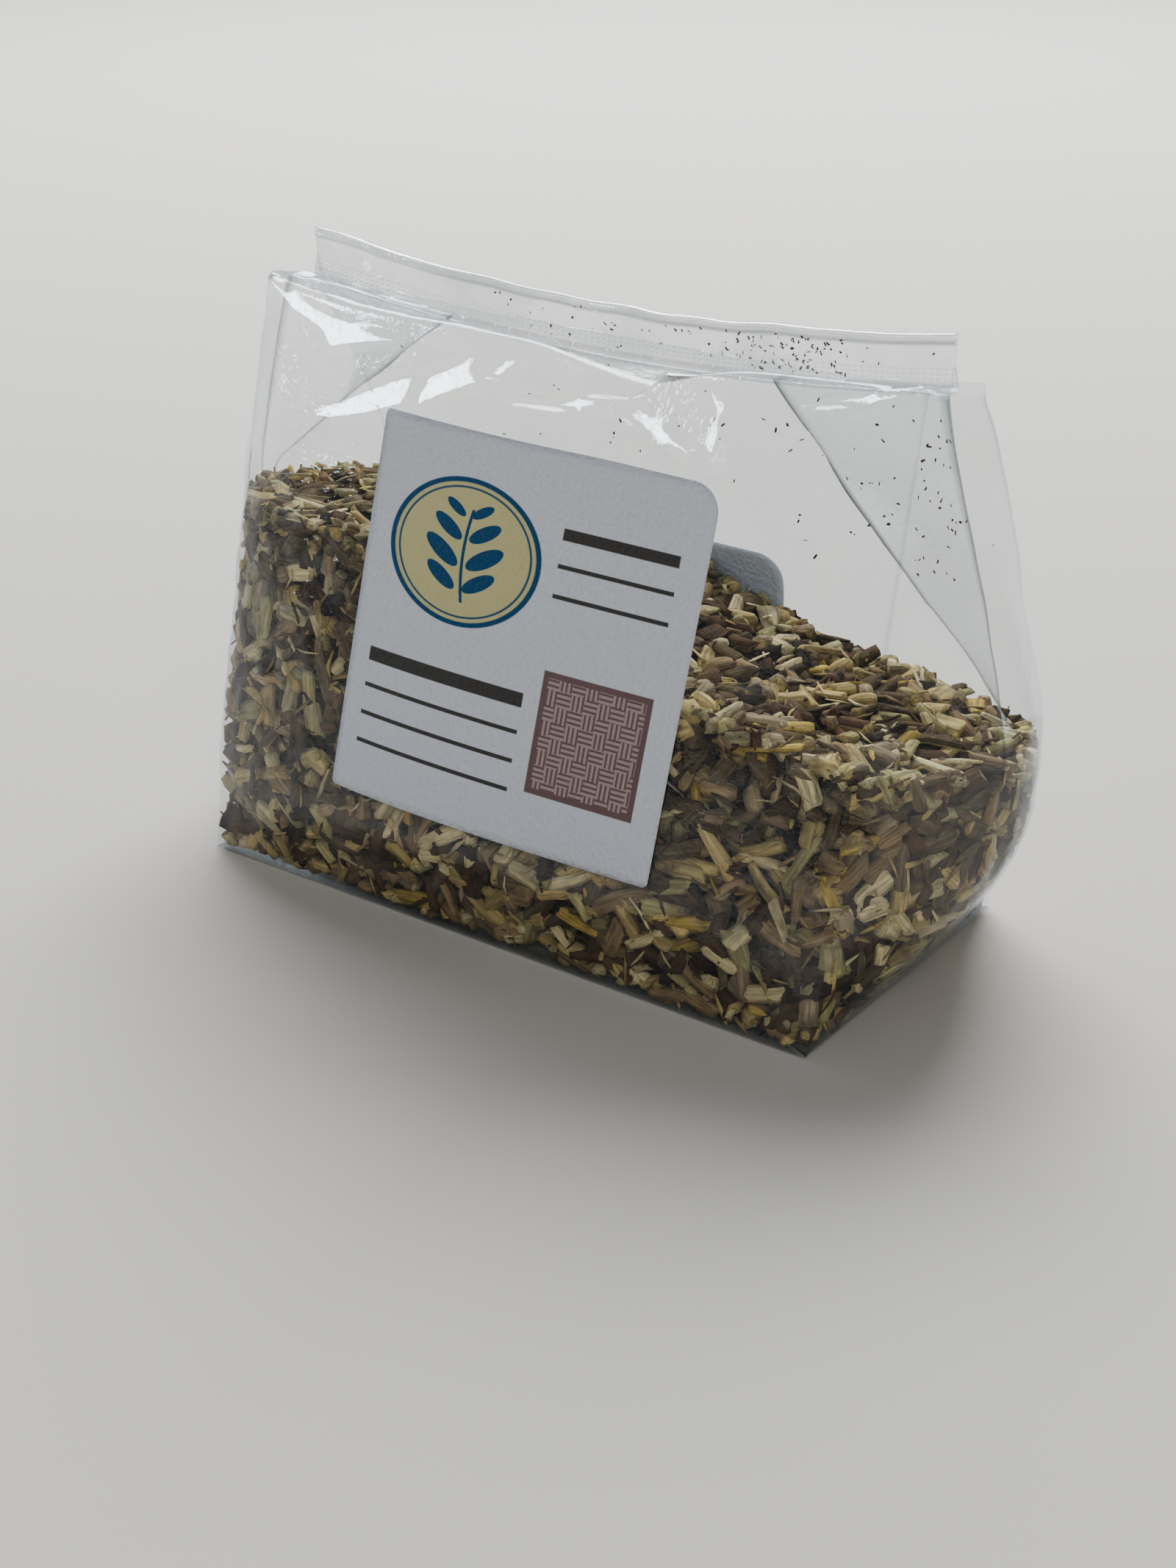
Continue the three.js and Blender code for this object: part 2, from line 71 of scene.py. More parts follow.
SEAL_Y = (0.8, 0.8, 2.4, 3.4, 5.8, 5.8, 3.4, 2.4)  # how far back the corners end at the seal
RIDGE_LIFT = 1.5
DENT_X, DENT_WIDTH, DENT_DROP, DENT_DEPTH, DENT_FROM = 12.0, 11.0, 5.0, 3.5, 68


def mix(a, b, t):
    """From a to b by the share t."""
    return a + (b - a) * t


def smooth(low, high, x):
    """0 below low and 1 above high, with a soft step of 3t^2 - 2t^3 between them."""
    t = np.clip((x - low) / (high - low), 0, 1)
    return t * t * (3 - 2 * t)


def unit(vectors):
    """Vectors brought to length 1."""
    return vectors / np.linalg.norm(vectors, axis=-1, keepdims=True)


def dent_at(x):
    """The dent under the ridge, a bell curve across the bag."""
    return np.exp(-(((x - DENT_X) / DENT_WIDTH) ** 2))


def seal_z(x):
    """The seal line sags between its ends as a parabola."""
    return SEAL_HEIGHT + HEADER_SAG * (2 * x / PANEL_WIDTH) ** 2


def gusset(side, apex, bulge, h):
    """The front edge, outer fold, centre crease and back edge of one gusset at h.

    Below apex the gusset is an arc that bulges out by 4 s (1 - s) of bulge over its share
    s of the way back. Above it, fold and crease go in a line to their places at the top.
    """
    edge = PANEL_WIDTH / 2
    rise = np.clip((h - BACK_UPRIGHT) / (SHOULDER - BACK_UPRIGHT), 0, 1)
    tuck = np.clip((h - apex) / (SHOULDER - apex), 0, 1)
    out = bulge * np.sin(np.clip(h / BULGE_HEIGHT, 0, 1) * math.pi / 2)
    same = np.ones_like(h)
    front_x, back_x = (edge + far * smooth(0, top, h) for far, top in (FRONT_FLARE, BACK_FLARE))
    front = np.stack([front_x, FRONT_LEAN * h - BASE_DEPTH / 2, h], -1)
    back_y = mix(BASE_DEPTH / 2, TOP_HALF_DEPTH, rise**1.4)
    back = np.stack([back_x, back_y, h * BACK_SHARE], -1)

    def arc(share):
        point = mix(front, back, share)
        point[..., 0] += out * 4 * share * (1 - share)
        return point

    fold_top = np.stack([(edge + FOLD_TOP[0]) * same, FOLD_TOP[1] * same, h], -1)
    crease_top = np.stack([(edge - GUSSET_INSET) * same, CREASE_TOP[0] * same, h * CREASE_TOP[1]], -1)
    fold = mix(arc(FOLD_SHARE), fold_top, tuck[..., None] ** 1.1)
    crease = mix(arc(0.5), crease_top, tuck[..., None])
    corners = np.stack([front, fold, crease, back])
    corners[..., 0] *= side
    return corners, side * out * (1 - tuck)


def bag_surface(u, h, sealed=0.0):
    """The film's outer face. u goes round the bag through its eight corners, 0 to 8 from
    the front left one, h goes up the walls, and sealed goes from the ridge to the seal.

    A side is the line between its two corners. The gussets' sides add their part of the
    arc, and the front and back panels a parabola that the fill bows out. The front one's
    is skewed to the left, where the fill is higher.
    """
    u, h, sealed = np.broadcast_arrays(np.asarray(u, float), h, sealed)
    right, right_out = gusset(*RIGHT_GUSSET, h)
    left, left_out = gusset(*LEFT_GUSSET, h)
    corners = np.stack([left[0], *right, left[3], left[2], left[1]])
    aim = np.array(SEAL_Y).reshape((8,) + (1,) * h.ndim)
    corners[..., 1] = mix(corners[..., 1], aim, sealed)
    side = np.floor(u).astype(int) % 8
    along = u - np.floor(u)
    start = np.take_along_axis(corners, side[None, ..., None], 0)[0]
    end = np.take_along_axis(corners, ((side + 1) % 8)[None, ..., None], 0)[0]
    x, y, z = np.moveaxis(mix(start, end, along[..., None]), -1, 0)
    hump = 4 * along * (1 - along)
    share = np.array([0, FOLD_SHARE, 0.5 - FOLD_SHARE, 0.5, 0, 0.5, 0.5 - FOLD_SHARE, FOLD_SHARE])
    x = x + np.where(side < 4, right_out, left_out) * share[side] ** 2 * hump
    full = smooth(0, BOW_HEIGHT, h) * (1 - sealed)
    dented = DENT_DEPTH * dent_at(x) * smooth(DENT_FROM, SHOULDER, h) * (1 - sealed)
    skewed = along * (1 + BOW_SKEW) / (1 + BOW_SKEW * along)
    y = y + (side == 0) * (hump * dented - FRONT_BOW * full * 4 * skewed * (1 - skewed))
    y = y + (side == 4) * hump * BACK_BOW * full * (1 - smooth(*BACK_FLAT, h))
    at_front = (side == 0) + (side == 1) * (1 - along) + (side == 7) * along
    up = h / SHOULDER
    ridge = z + RIDGE_LIFT * up - DENT_DROP * dent_at(x) * up**6
    z = mix(mix(z, ridge, at_front), seal_z(x), sealed)
    return np.stack([x, y, z], -1)


def film_at(u, h):
    """Points on the film at u and h, and its outward normals there, from the cross product
    of a short step each way."""
    here = bag_surface(u, h)
    ahead, above = bag_surface(u + 1e-3, h), bag_surface(u, h + 1e-2)
    return here, unit(np.cross(ahead - here, above - here))


def normals_of(grid):
    """Unit normals of a grid of points whose rows go round the bag, from the cross product
    of its two directions."""
    across = np.roll(grid, -1, 1) - np.roll(grid, 1, 1)
    normal = np.cross(across, np.gradient(grid, axis=0))
    return normal / np.maximum(np.linalg.norm(normal, axis=-1, keepdims=True), 1e-9)


def make_mesh(name, vertices, faces, face_uvs=None):
    """A mesh from arrays: vertices in millimetres, and faces as arrays of equal corners.

    face_uvs holds one array for each array of faces, with a pair for each corner.
    """
    mesh = bpy.data.meshes.new(name)
    mesh.vertices.add(len(vertices))
    mesh.vertices.foreach_set("co", (np.asarray(vertices) * MM).astype(np.float32).ravel())
    counts = np.concatenate([np.full(len(f), f.shape[1]) for f in faces])
    corners = np.concatenate([f.ravel() for f in faces])
    mesh.loops.add(len(corners))
    mesh.loops.foreach_set("vertex_index", corners.astype(np.int32))
    mesh.polygons.add(len(counts))
    starts = np.concatenate([[0], np.cumsum(counts)[:-1]])
    mesh.polygons.foreach_set("loop_start", starts.astype(np.int32))
    if face_uvs is not None:
        layer = mesh.uv_layers.new(name="Surface")
        flat = np.concatenate([uv.reshape(-1, 2) for uv in face_uvs])
        layer.data.foreach_set("uv", flat.astype(np.float32).ravel())
    mesh.update(calc_edges=True)
    mesh.validate()
    return add_object(name, mesh)


def add_object(name, data):
    """A new object in the scene, with its place in its data."""
    thing = bpy.data.objects.new(name, data)
    bpy.context.scene.collection.objects.link(thing)
    return thing


def write_attribute(piece, name, kind, domain, values):
    """An attribute of a piece that its material reads, with a value or colour for each
    point or face."""
    layer = piece.data.attributes.new(name, kind, domain)
    values = np.asarray(values).astype(np.float32).ravel()
    layer.data.foreach_set("color" if kind == "FLOAT_COLOR" else "value", values)


def thicken(piece, name, thickness):
    """A wall of an even thickness in millimetres, inwards from the piece's faces."""
    wall = piece.modifiers.new(name, "SOLIDIFY")
    wall.thickness = thickness * MM
    wall.offset = -1
    return wall


def band_faces(rows, count):
    """Quads between the rows of a grid, which closes on itself round each row."""
    row, i = np.meshgrid(np.arange(rows - 1), np.arange(count), indexing="ij")
    low, high = row * count, (row + 1) * count
    next_i = (i + 1) % count
    return np.stack([low + i, low + next_i, high + next_i, high + i], -1).reshape(-1, 4)


def fan_faces(pole, first, count, ahead=False):
    """Triangles from the vertex pole to a closed row of count vertices that starts at
    first. They turn backwards along the row, or forwards if ahead is true."""
    i = np.arange(count)
    here, beside = first + i, first + (i + 1) % count
    pair = (here, beside) if ahead else (beside, here)
    return np.stack([np.full(count, pole), *pair], -1)


def waves(a, b, seed, longest, count=14):
    """Soft uneven waves over two distances a and b, about -1 to 1: sines of random
    direction, whose length falls from longest to about a third of it."""
    draw = np.random.default_rng(seed)
    total = np.zeros_like(a)
    for i in range(count):
        length = longest * mix(1.0, 0.35, i / count)
        turn, start = draw.uniform(0, 2 * math.pi, 2)
        way = a * math.cos(turn) + b * math.sin(turn)
        total += np.sin(2 * math.pi * way / length + start) * (length / longest)
    return total / math.sqrt(count)


def crease(a, b, start, end, width, height):
    """A straight crease between two points: height falls off as exp(-distance / width)
    beside it, and fades out at its ends."""
    start, end = np.array(start, float), np.array(end, float)
    way = end - start
    length = np.linalg.norm(way)
    way /= length
    along = (a - start[0]) * way[0] + (b - start[1]) * way[1]
    off = (a - start[0]) * -way[1] + (b - start[1]) * way[0]
    fade = smooth(-0.15 * length, 0.25 * length, along) * (1 - smooth(0.75 * length, 1.15 * length, along))
    return height * np.exp(-np.abs(off) / width) * fade


def outside(a, b, outline):
    """How far points lie outside a closed outline, and 0 in it. A point is in it when a
    line from it to the right crosses its sides an odd number of times."""
    far = np.full(a.shape, np.inf)
    within = np.zeros(a.shape, bool)
    for (a0, b0), (a1, b1) in zip(outline, outline[1:] + outline[:1]):
        share = ((a - a0) * (a1 - a0) + (b - b0) * (b1 - b0)) / ((a1 - a0) ** 2 + (b1 - b0) ** 2)
        share = np.clip(share, 0, 1)
        far = np.minimum(far, np.hypot(a - mix(a0, a1, share), b - mix(b0, b1, share)))
        crossed = (b0 > b) != (b1 > b)
        within ^= crossed & (a < a0 + (b - b0) * (a1 - a0) / (b1 - b0 + 1e-9))
    return np.where(within, 0.0, far)


# The heap's top, which the film's small bumps depend on too
HEAP_MIDDLE, HEAP_SLOPE_BACK = 43.0, 0.13
HEAP_FALL, HEAP_CENTRE, HEAP_FALL_WIDTH = 8.5, 2.0, 26.0
LEFT_DROP, LEFT_DROP_SPAN = 3.0, (20, 50)
RIGHT_DROP, RIGHT_DROP_SPAN = 2.0, (35, 58)


def heap_z(x, y):
    """The top of the heap: it falls to the right along a tanh curve, to the back, and a
    little to its two ends."""
    fall = HEAP_FALL * np.tanh((x - HEAP_CENTRE) / HEAP_FALL_WIDTH)
    ends = LEFT_DROP * smooth(*LEFT_DROP_SPAN, -x) + RIGHT_DROP * smooth(*RIGHT_DROP_SPAN, x)
    return HEAP_MIDDLE - fall - HEAP_SLOPE_BACK * y - ends


# Where the bag's own middle is in the frame, told by the header, which is as wide as the
# panels and whose foot ends just in front of the back panel
header_low, header_high = (np.array(corner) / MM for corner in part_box("header_band"))
TOUCH_GAP = 0.3
header_back = SEAL_Y[4] - TOUCH_GAP
origin = np.array([(header_low[0] + header_high[0]) / 2, header_high[1] - header_back, 0.0])

# Places and sizes of both labels, under which the film lies even
LABEL_X, LABEL_Z, LABEL_SIDE, LABEL_TILT = 1.9, 42.7, 50.8, -2.5
BACK_LABEL_X, BACK_LABEL_Z, BACK_LABEL_SIZE = -12.2, 27.3, (50.8, 31.8)


# Taut facets of the front panel above the fill, as outlines in x and z: the triangle
# under the left ear, the band between the label and the ridge in four pieces, the inside
# of the V under the dent and its two sides, and a strip under the right ear. Each lies
# in a plane with the normal given last.
FACETS = (
    ([(-50.1, 80.6), (-43.5, 78.0), (-36.3, 76.8), (-34.2, 74.8), (-28.0, 76.3), (-20.4, 77.8),
      (-28.1, 78.2), (-35.8, 78.9), (-42.1, 79.4)], (-0.155, -0.876, 0.457)),
    ([(-36.2, 65.5), (-33.0, 65.6), (-26.0, 67.6), (-18.5, 70.2), (-17.5, 73.9), (-22.9, 72.6),
      (-29.5, 69.4)], (-0.165, -0.873, 0.459)),
    ([(-18.5, 70.2), (-12.7, 72.4), (-5.8, 75.0), (-9.6, 75.6), (-9.3, 77.4), (-7.9, 78.8),
      (-11.4, 76.6), (-17.5, 73.9)], (-0.18, -0.872, 0.455)),
    ([(-7.4, 75.4), (-4.6, 76.0), (-2.4, 77.8), (-5.4, 77.3)], (-0.19, -0.872, 0.45)),
    ([(-3.5, 73.0), (4.0, 73.0), (11.3, 72.6), (11.3, 73.7), (4.0, 73.9)], (-0.21, -0.87, 0.445)),
    ([(12.0, 74.0), (19.4, 72.2), (26.2, 69.8), (25.3, 73.6), (24.4, 76.0), (22.2, 78.6),
      (17.0, 77.0)], (-0.05, -0.915, 0.40)),
    ([(11.3, 72.9), (18.0, 71.0), (26.7, 69.4), (19.0, 72.2), (13.5, 73.9)], (-0.225, -0.868, 0.44)),
    ([(22.8, 78.3), (24.8, 76.0), (25.5, 73.4), (26.7, 69.4), (27.1, 73.2), (25.6, 76.4)],
     (-0.24, -0.867, 0.435)),
    ([(37.5, 77.9), (44.9, 79.1), (51.5, 80.3), (51.5, 80.9), (44.5, 80.0), (38.6, 78.8)],
     (-0.25, -0.865, 0.43)),
)
FACET_REACH = 0.7

# Creases of the front panel, as x and z of both ends, width and height: lines from the
# ears and the dent, and the folds under the right end of the ridge
FRONT_CREASES = (
    ((-48.0, 79.0), (-38.0, 74.0), 1.0, 0.3),
    ((39.4, 77.6), (53.0, 80.4), 1.2, 0.5),
    ((27.5, 70.0), (39.5, 77.5), 0.9, -0.3),
    ((-44.0, 58.0), (-47.0, 75.0), 1.1, 0.25),
    ((32.0, 64.0), (46.0, 73.0), 1.2, 0.18),
    ((33.0, 52.0), (40.0, 69.0), 1.0, 0.15),
    ((-40.0, 52.0), (-31.0, 61.0), 1.1, 0.18),
)
# Creases at random on the back panel and on the gussets: how many, the lowest and highest
# middles, the ranges of their directions, lengths and heights, and their width
BACK_CREASES = (16, (-46, 50), (46, 74), (-1.2, 1.2), (5, 16), (0.08, 0.22), 1.1)
GUSSET_CREASES = (14, (-18, 30), (12, 72), (0.9, 2.1), (6, 22), (0.1, 0.3), 0.9)


def random_creases(draw, a, b, many, low, high, turns, reaches, heights, width):
    """The sum of many creases drawn at random, each a bump or a groove."""
    lines = np.zeros_like(a)
    for _ in range(many):
        middle = draw.uniform(low, high)
        turn, reach = draw.uniform(*turns), draw.uniform(*reaches)
        way = np.array([math.cos(turn), math.sin(turn)]) * reach / 2
        height = draw.choice([-1, 1]) * draw.uniform(*heights)
        lines += crease(a, b, middle - way, middle + way, width, height)
    return lines


def film_relief(points, normals, u, sealed):
    """How far the film stands off its plain form, outwards: soft waves, bumps where the
    chips press on it, and creases. Behind the labels the film is even. In each facet it
    is pulled to the facet's plane, which dies out over FACET_REACH round it."""
    x, y, z = np.moveaxis(points, -1, 0)
    round_way = np.where(np.abs(x) > PANEL_WIDTH / 2 - 1, y, x)
    filled = 1 - smooth(-4, 3, z - heap_z(x, y))
    front = (u < 1.0) & (u >= 0.0)
    back = (u >= 4.0) & (u < 5.0)
    depth = np.where(front, 0.2, 0.3)
    relief = depth * waves(round_way, z, 11, 21.0) * smooth(2, 14, z) * (1 - 0.6 * filled)
    relief += 0.11 * waves(round_way, z, 12, 6.5) * filled * smooth(1, 6, z)
    lines = np.zeros_like(x)
    for start, end, width, height in FRONT_CREASES:
        lines += crease(x, z, start, end, width, height) * front
    draw = np.random.default_rng(13)
    lines += random_creases(draw, x, z, *BACK_CREASES) * back
    lines += random_creases(draw, y, z, *GUSSET_CREASES) * (~front & ~back)
    label_gap = np.maximum(np.abs(x - LABEL_X), np.abs(z - LABEL_Z)) - LABEL_SIDE / 2
    calm = np.where(front, smooth(1.5, 5.0, label_gap), 1.0)
    back_gap = np.maximum(
        np.abs(x - BACK_LABEL_X) - BACK_LABEL_SIZE[0] / 2,
        np.abs(z - BACK_LABEL_Z) - BACK_LABEL_SIZE[1] / 2,
    )
    calm = calm * np.where(back, smooth(1.0, 4.0, back_gap), 1.0)
    relief = (relief + lines) * calm
    panel = front & (sealed == 0)
    for outline, facing in FACETS:
        middle = np.mean(outline, 0)
        off = np.hypot(x - middle[0], z - middle[1]) + 1e3 * ~panel
        seat = points.reshape(-1, 3)[off.argmin()]
        plane = ((seat - points) @ facing) / (normals @ facing)
        share = np.clip(1 - outside(x, z, outline) / FACET_REACH, 0, 1) * panel
        relief = mix(relief, np.clip(plane, -1.6, 1.6), share)
    return relief


def new_material(name):
    """A material and its node tree, with a Principled shader."""
    material = bpy.data.materials.new(name)
    material.use_nodes = True
    return material, material.node_tree


def add_node(tree, kind, inputs=None, **settings):
    """A node of a material with its settings. inputs gives the value of each of its
    sockets, or another node's output that feeds it."""
    node = tree.nodes.new("ShaderNode" + kind)
    for name, value in settings.items():
        setattr(node, name, value)
    for name, value in (inputs or {}).items():
        if isinstance(value, bpy.types.NodeSocket):
            tree.links.new(value, node.inputs[name])
        else:
            node.inputs[name].default_value = value
    return node


def clear_film(name, haze, roughness, ripple, mirrored=0.036):
    """Clear film: light goes straight through it, apart from what its faces mirror, a
    share of mirrored + 0.6 facing^5, and a thin white haze, thicker in scuffed patches.
    ripple is the depth of the fine wrinkles, which only the mirror image shows. Where the fold attribute is
    1, the film is folded hard and dims what is behind it: painted shade along the folds, standing in for
    the light that the folded film bends away."""
    material, tree = new_material(name)
    tree.nodes.clear()
    place = add_node(tree, "TexCoord").outputs["Object"]
    fine = add_node(tree, "TexNoise", {"Vector": place, "Scale": 800, "Detail": 2, "Distortion": 2.0})
    broad = add_node(tree, "TexNoise", {"Vector": place, "Scale": 110, "Detail": 2})
    both = add_node(
        tree, "Math", {0: fine.outputs["Fac"], 1: 0.5, 2: broad.outputs["Fac"]}, operation="MULTIPLY_ADD",
    )
    bump = add_node(tree, "Bump", {"Height": both.outputs[0], "Strength": 1.0, "Distance": ripple * MM})
    mirror = add_node(tree, "BsdfGlossy", {
        "Normal": bump.outputs["Normal"], "Roughness": roughness, "Color": (0.93, 0.97, 1.0, 1),
    })
    clear = add_node(tree, "BsdfTransparent", {"Color": (0.975, 0.982, 0.985, 1)})
    white = add_node(tree, "BsdfDiffuse", {"Color": (0.86, 0.89, 0.93, 1)})
    scuffs = add_node(tree, "TexNoise", {"Vector": place, "Scale": 55, "Detail": 5, "Roughness": 0.65})
    share = add_node(tree, "MapRange", {
        "Value": scuffs.outputs["Fac"], "From Min": 0.42, "From Max": 0.8,
        "To Min": haze * 0.4, "To Max": haze * 4,
    })
    body = add_node(tree, "MixShader", {
        "Fac": share.outputs["Result"], 1: clear.outputs[0], 2: white.outputs[0],
    })
    body.name = "Haze"
    fold_shade_share = add_node(tree, "Attribute", attribute_name="FoldShade")
    fold_shade_colour = add_node(tree, "BsdfTransparent", {"Color": (0.42, 0.45, 0.48, 1)})
    layers = add_node(tree, "MixShader", {
        "Fac": fold_shade_share.outputs["Fac"], 1: body.outputs[0], 2: fold_shade_colour.outputs[0],
    })
    angle = add_node(tree, "LayerWeight", {"Blend": 0.5})
    steep = add_node(tree, "Math", {0: angle.outputs["Facing"], 1: 5.0}, operation="POWER")
    gloss = add_node(tree, "Math", {0: steep.outputs[0], 1: 0.6, 2: mirrored}, operation="MULTIPLY_ADD")
    film = add_node(tree, "MixShader", {
        "Fac": gloss.outputs[0], 1: layers.outputs[0], 2: mirror.outputs[0],
    })
    add_node(tree, "OutputMaterial", {"Surface": film.outputs[0]})
    return material


def round_steps(counts, lengths=(), beside=()):
    """Places round the bag, 0 to 8, with counts[i] even steps on the side i. More places
    lie at the distances beside from both ends of each side, which is lengths[i] long."""
    places = [side + np.arange(n) / n for side, n in enumerate(counts)]
    for side, length in enumerate(lengths):
        near = np.array(beside) / length
        places += [side + near, side + 1 - near]
    return np.sort(np.concatenate(places))


# Columns of the film on each side and the side's rough length, more columns beside each corner, and how
# strongly painted shade darkens what is seen through the fold at each corner
FILM_COLUMNS = (150, 14, 8, 22, 56, 22, 8, 14)
SIDE_LENGTHS = (102, 20, 12, 25, 102, 25, 12, 20)
BESIDE_CORNER = (0.3, 0.6)
FOLD_SHADES = (0.25, 0.25, 1.1, 0.9, 0.2, 0.2, 0.9, 0.8)


def make_film_bag():
    """The walls in rows up to the ridge, then over the shoulder to the seal line. The
    base closes the lowest row in rings that shrink to a point. Rows and columns are
    averaged with their neighbours twice, which rounds the folds, and the rows by the
    ridge more often, which turns it over a radius of about 3."""
    u = round_steps(FILM_COLUMNS, SIDE_LENGTHS, BESIDE_CORNER)
    lower, middle, upper = np.linspace(0, 6, 12), np.linspace(7, 62, 50), np.linspace(62.4, SHOULDER, 45)
    heights = np.concatenate([lower, middle, upper])
    shares = np.linspace(0.04, 0.97, 18)
    level = np.concatenate([heights, np.full(len(shares), SHOULDER)])
    sealed = np.concatenate([np.zeros(len(heights)), shares])
    grid = bag_surface(u[None], level[:, None], sealed[:, None])
    for _ in range(2):
        between_rows = (grid[:-2] + grid[2:]) / 2
        grid[1:-1] = mix(grid[1:-1], between_rows, 0.5)
        beside = (np.roll(grid, 1, 1) + np.roll(grid, -1, 1)) / 2
        grid = mix(grid, beside, 0.5)
    from_ridge = np.arange(len(level)) - (len(heights) - 1)
    soft = 0.5 * np.exp(-((from_ridge / 7) ** 2))[1:-1, None, None]
    for _ in range(12):
        grid[1:-1] = mix(grid[1:-1], (grid[:-2] + grid[2:]) / 2, soft)
    places = np.broadcast_to(u, grid.shape[:2])
    over = np.broadcast_to(sealed[:, None], grid.shape[:2])
    normals = normals_of(grid)
    relief = film_relief(grid, normals, places, over) * (1 - smooth(0.6, 0.97, over))
    grid = grid + normals * relief[..., None]
    grid[..., 2] = np.maximum(grid[..., 2], 0)
    rings = [grid[0] * [scale, scale, 0] for scale in (0.2, 0.4, 0.6, 0.8)]
    rows = np.concatenate([np.stack(rings), grid])
    count = rows.shape[1]
    vertices = np.concatenate([rows.reshape(-1, 3), [[0, 0, 0]]]) + origin
    fan = fan_faces(len(vertices) - 1, 0, count)
    piece = make_mesh("bag_film", vertices, [band_faces(len(rows), count), fan])
    # Painted shade along the folds: the fold attribute darkens what is seen through the film at the corner
    # columns, from 26 up towards the shoulder.
    corner = np.where(u == np.floor(u), np.array(FOLD_SHADES)[np.floor(u).astype(int)], 0)
    corner = np.maximum(corner, 0.45 * np.maximum(np.roll(corner, 1), np.roll(corner, -1)))
    fold = corner * (smooth(26, 46, level) * (1 - smooth(0.1, 0.4, sealed)))[:, None]
    fold = np.concatenate([np.zeros(len(rings) * count), 0.75 * fold.ravel(), [0]])
    write_attribute(piece, "FoldShade", "FLOAT", "POINT", fold)
    return piece


bag_film = make_film_bag()
thicken(bag_film, "film thickness", 0.1)
bag_film.data.shade_smooth()
bag_film.data.materials.append(clear_film("Clear film", 0.004, 0.03, 0.16))
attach(bag_film, "root")
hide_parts("film_bag")

# Header
# All layers of the film are sealed together along a crimped line, and the top is folded
# over. The fold is a thin stiff band with a rolled upper edge, a little wavy and milky.
HEADER_Y = 3.3
HEADER_RISE = 6.4
BAND_HALF = 0.22
ROLL_RADIUS = 0.62
BACK_STEPS, ROLL_STEPS = 16, 15
KNURL_STEP = 0.8


def header_outline():
    """The band's section round its edge, as distance back and height over the seal line:
    up its back, round the roll at the top, down its front and round its foot."""
    up = np.linspace(0.2, HEADER_RISE - 2.1 * ROLL_RADIUS, BACK_STEPS)
    turn = np.linspace(-0.25 * math.pi, 1.25 * math.pi, ROLL_STEPS)
    roll_y = ROLL_RADIUS * np.cos(turn)
    roll_z = HEADER_RISE - ROLL_RADIUS + ROLL_RADIUS * np.sin(turn)
    back = np.stack([np.full(BACK_STEPS, BAND_HALF), up], -1)
    front = np.stack([np.full(BACK_STEPS, -BAND_HALF), up[::-1]], -1)
    foot_y = np.array([-0.5, -1.0, -1.05, 1.5, 1.45, 0.7])
    foot_z = np.array([-0.1, -0.7, -0.95, -0.95, -0.7, -0.1])
    return np.concatenate([back, np.stack([roll_y, roll_z], -1), front, np.stack([foot_y, foot_z], -1)])


def make_header():
    """The section is carried along the seal line. The band waves back and forth, its
    crimped foot has a fine knurl of crossed ridges, and its ends are closed."""
    outline = header_outline()
    across = np.linspace(-PANEL_WIDTH / 2, PANEL_WIDTH / 2, 380)
    x = np.broadcast_to(across[:, None], (len(across), len(outline)))
    off, up = (np.broadcast_to(outline[:, i], x.shape) for i in (0, 1))
    wave = 0.5 * waves(x, up, 21, 46.0, 8) * smooth(0, 5, up)
    ripple = 0.1 * waves(x, up * 1.5, 22, 9.0)
    crimp = 0.07 * np.sin(2 * math.pi * (x + up) / KNURL_STEP) * np.sin(2 * math.pi * (x - up) / KNURL_STEP)
    crimp *= smooth(0.1, 0.5, up) * (1 - smooth(1.4, 1.9, up))
    thin = 1 + 0.25 * waves(x, np.zeros_like(x), 23, 17.0, 6) * smooth(4, 6, up)
    y = HEADER_Y + off * thin + wave + (ripple + crimp) * (up < 5.0)
    z = seal_z(x) + up + 0.12 * waves(x, np.zeros_like(x), 24, 12.0, 6) * smooth(2, 6, up)
    grid = np.stack([x, y, z], -1)
    rows, count = grid.shape[:2]
    centres = grid[[0, -1]].mean(1)
    vertices = np.concatenate([grid.reshape(-1, 3), centres]) + origin
    last = (rows - 1) * count
    near_end, far_end = fan_faces(rows * count, 0, count), fan_faces(rows * count + 1, last, count, True)
    faces = [band_faces(rows, count), near_end, far_end]
    bend = HEADER_RISE - 2 * ROLL_RADIUS
    # Painted shade: the fold attribute darkens the band in a line just under the roll and along its foot.
    fold = 0.6 * np.exp(-(((up - bend) / 0.22) ** 2)) + 0.4 * np.exp(-(((up + 0.2) / 0.3) ** 2))
    flat = np.stack([x, up], -1).reshape(-1, 2)
    flat = np.concatenate([flat, [flat[0], flat[-1]]])
    piece = make_mesh("header_film", vertices, faces, [flat[f] for f in faces])
    write_attribute(piece, "FoldShade", "FLOAT", "POINT", np.append(fold.ravel(), [0, 0]))
    column = np.arange(len(piece.data.polygons)) % count
    on_roll = (column >= BACK_STEPS - 1) & (column <= BACK_STEPS + ROLL_STEPS - 1)
    rolled = on_roll & (np.arange(len(column)) < last)
    piece.data.polygons.foreach_set("material_index", rolled.astype(np.int32))
    return piece


class Field:
    """A number over a surface, worked out by Math nodes, so that a pattern is written as
    its formula."""

    def __init__(self, tree, socket):
        self.tree, self.socket = tree, socket

    def math(self, operation, other=None):
        inputs = {0: self.socket}
        if other is not None:
            inputs[1] = other.socket if isinstance(other, Field) else other
        node = add_node(self.tree, "Math", inputs, operation=operation)
        return Field(self.tree, node.outputs[0])

    def __add__(self, other):
        return self.math("ADD", other)

    def __sub__(self, other):
        return self.math("SUBTRACT", other)

    def __mul__(self, other):
        return self.math("MULTIPLY", other)

    def below(self, limit):
        return self.math("LESS_THAN", limit)

    def soft_below(self, limit, edge=0.06):
        """1 under the limit and 0 over it, with a soft edge."""
        return ((self - limit) * (-0.5 / edge) + 0.5).math("MINIMUM", 1.0).math("MAXIMUM", 0.0)


DASH_STEP, DASH_ROW_STEP = 0.95, 0.62


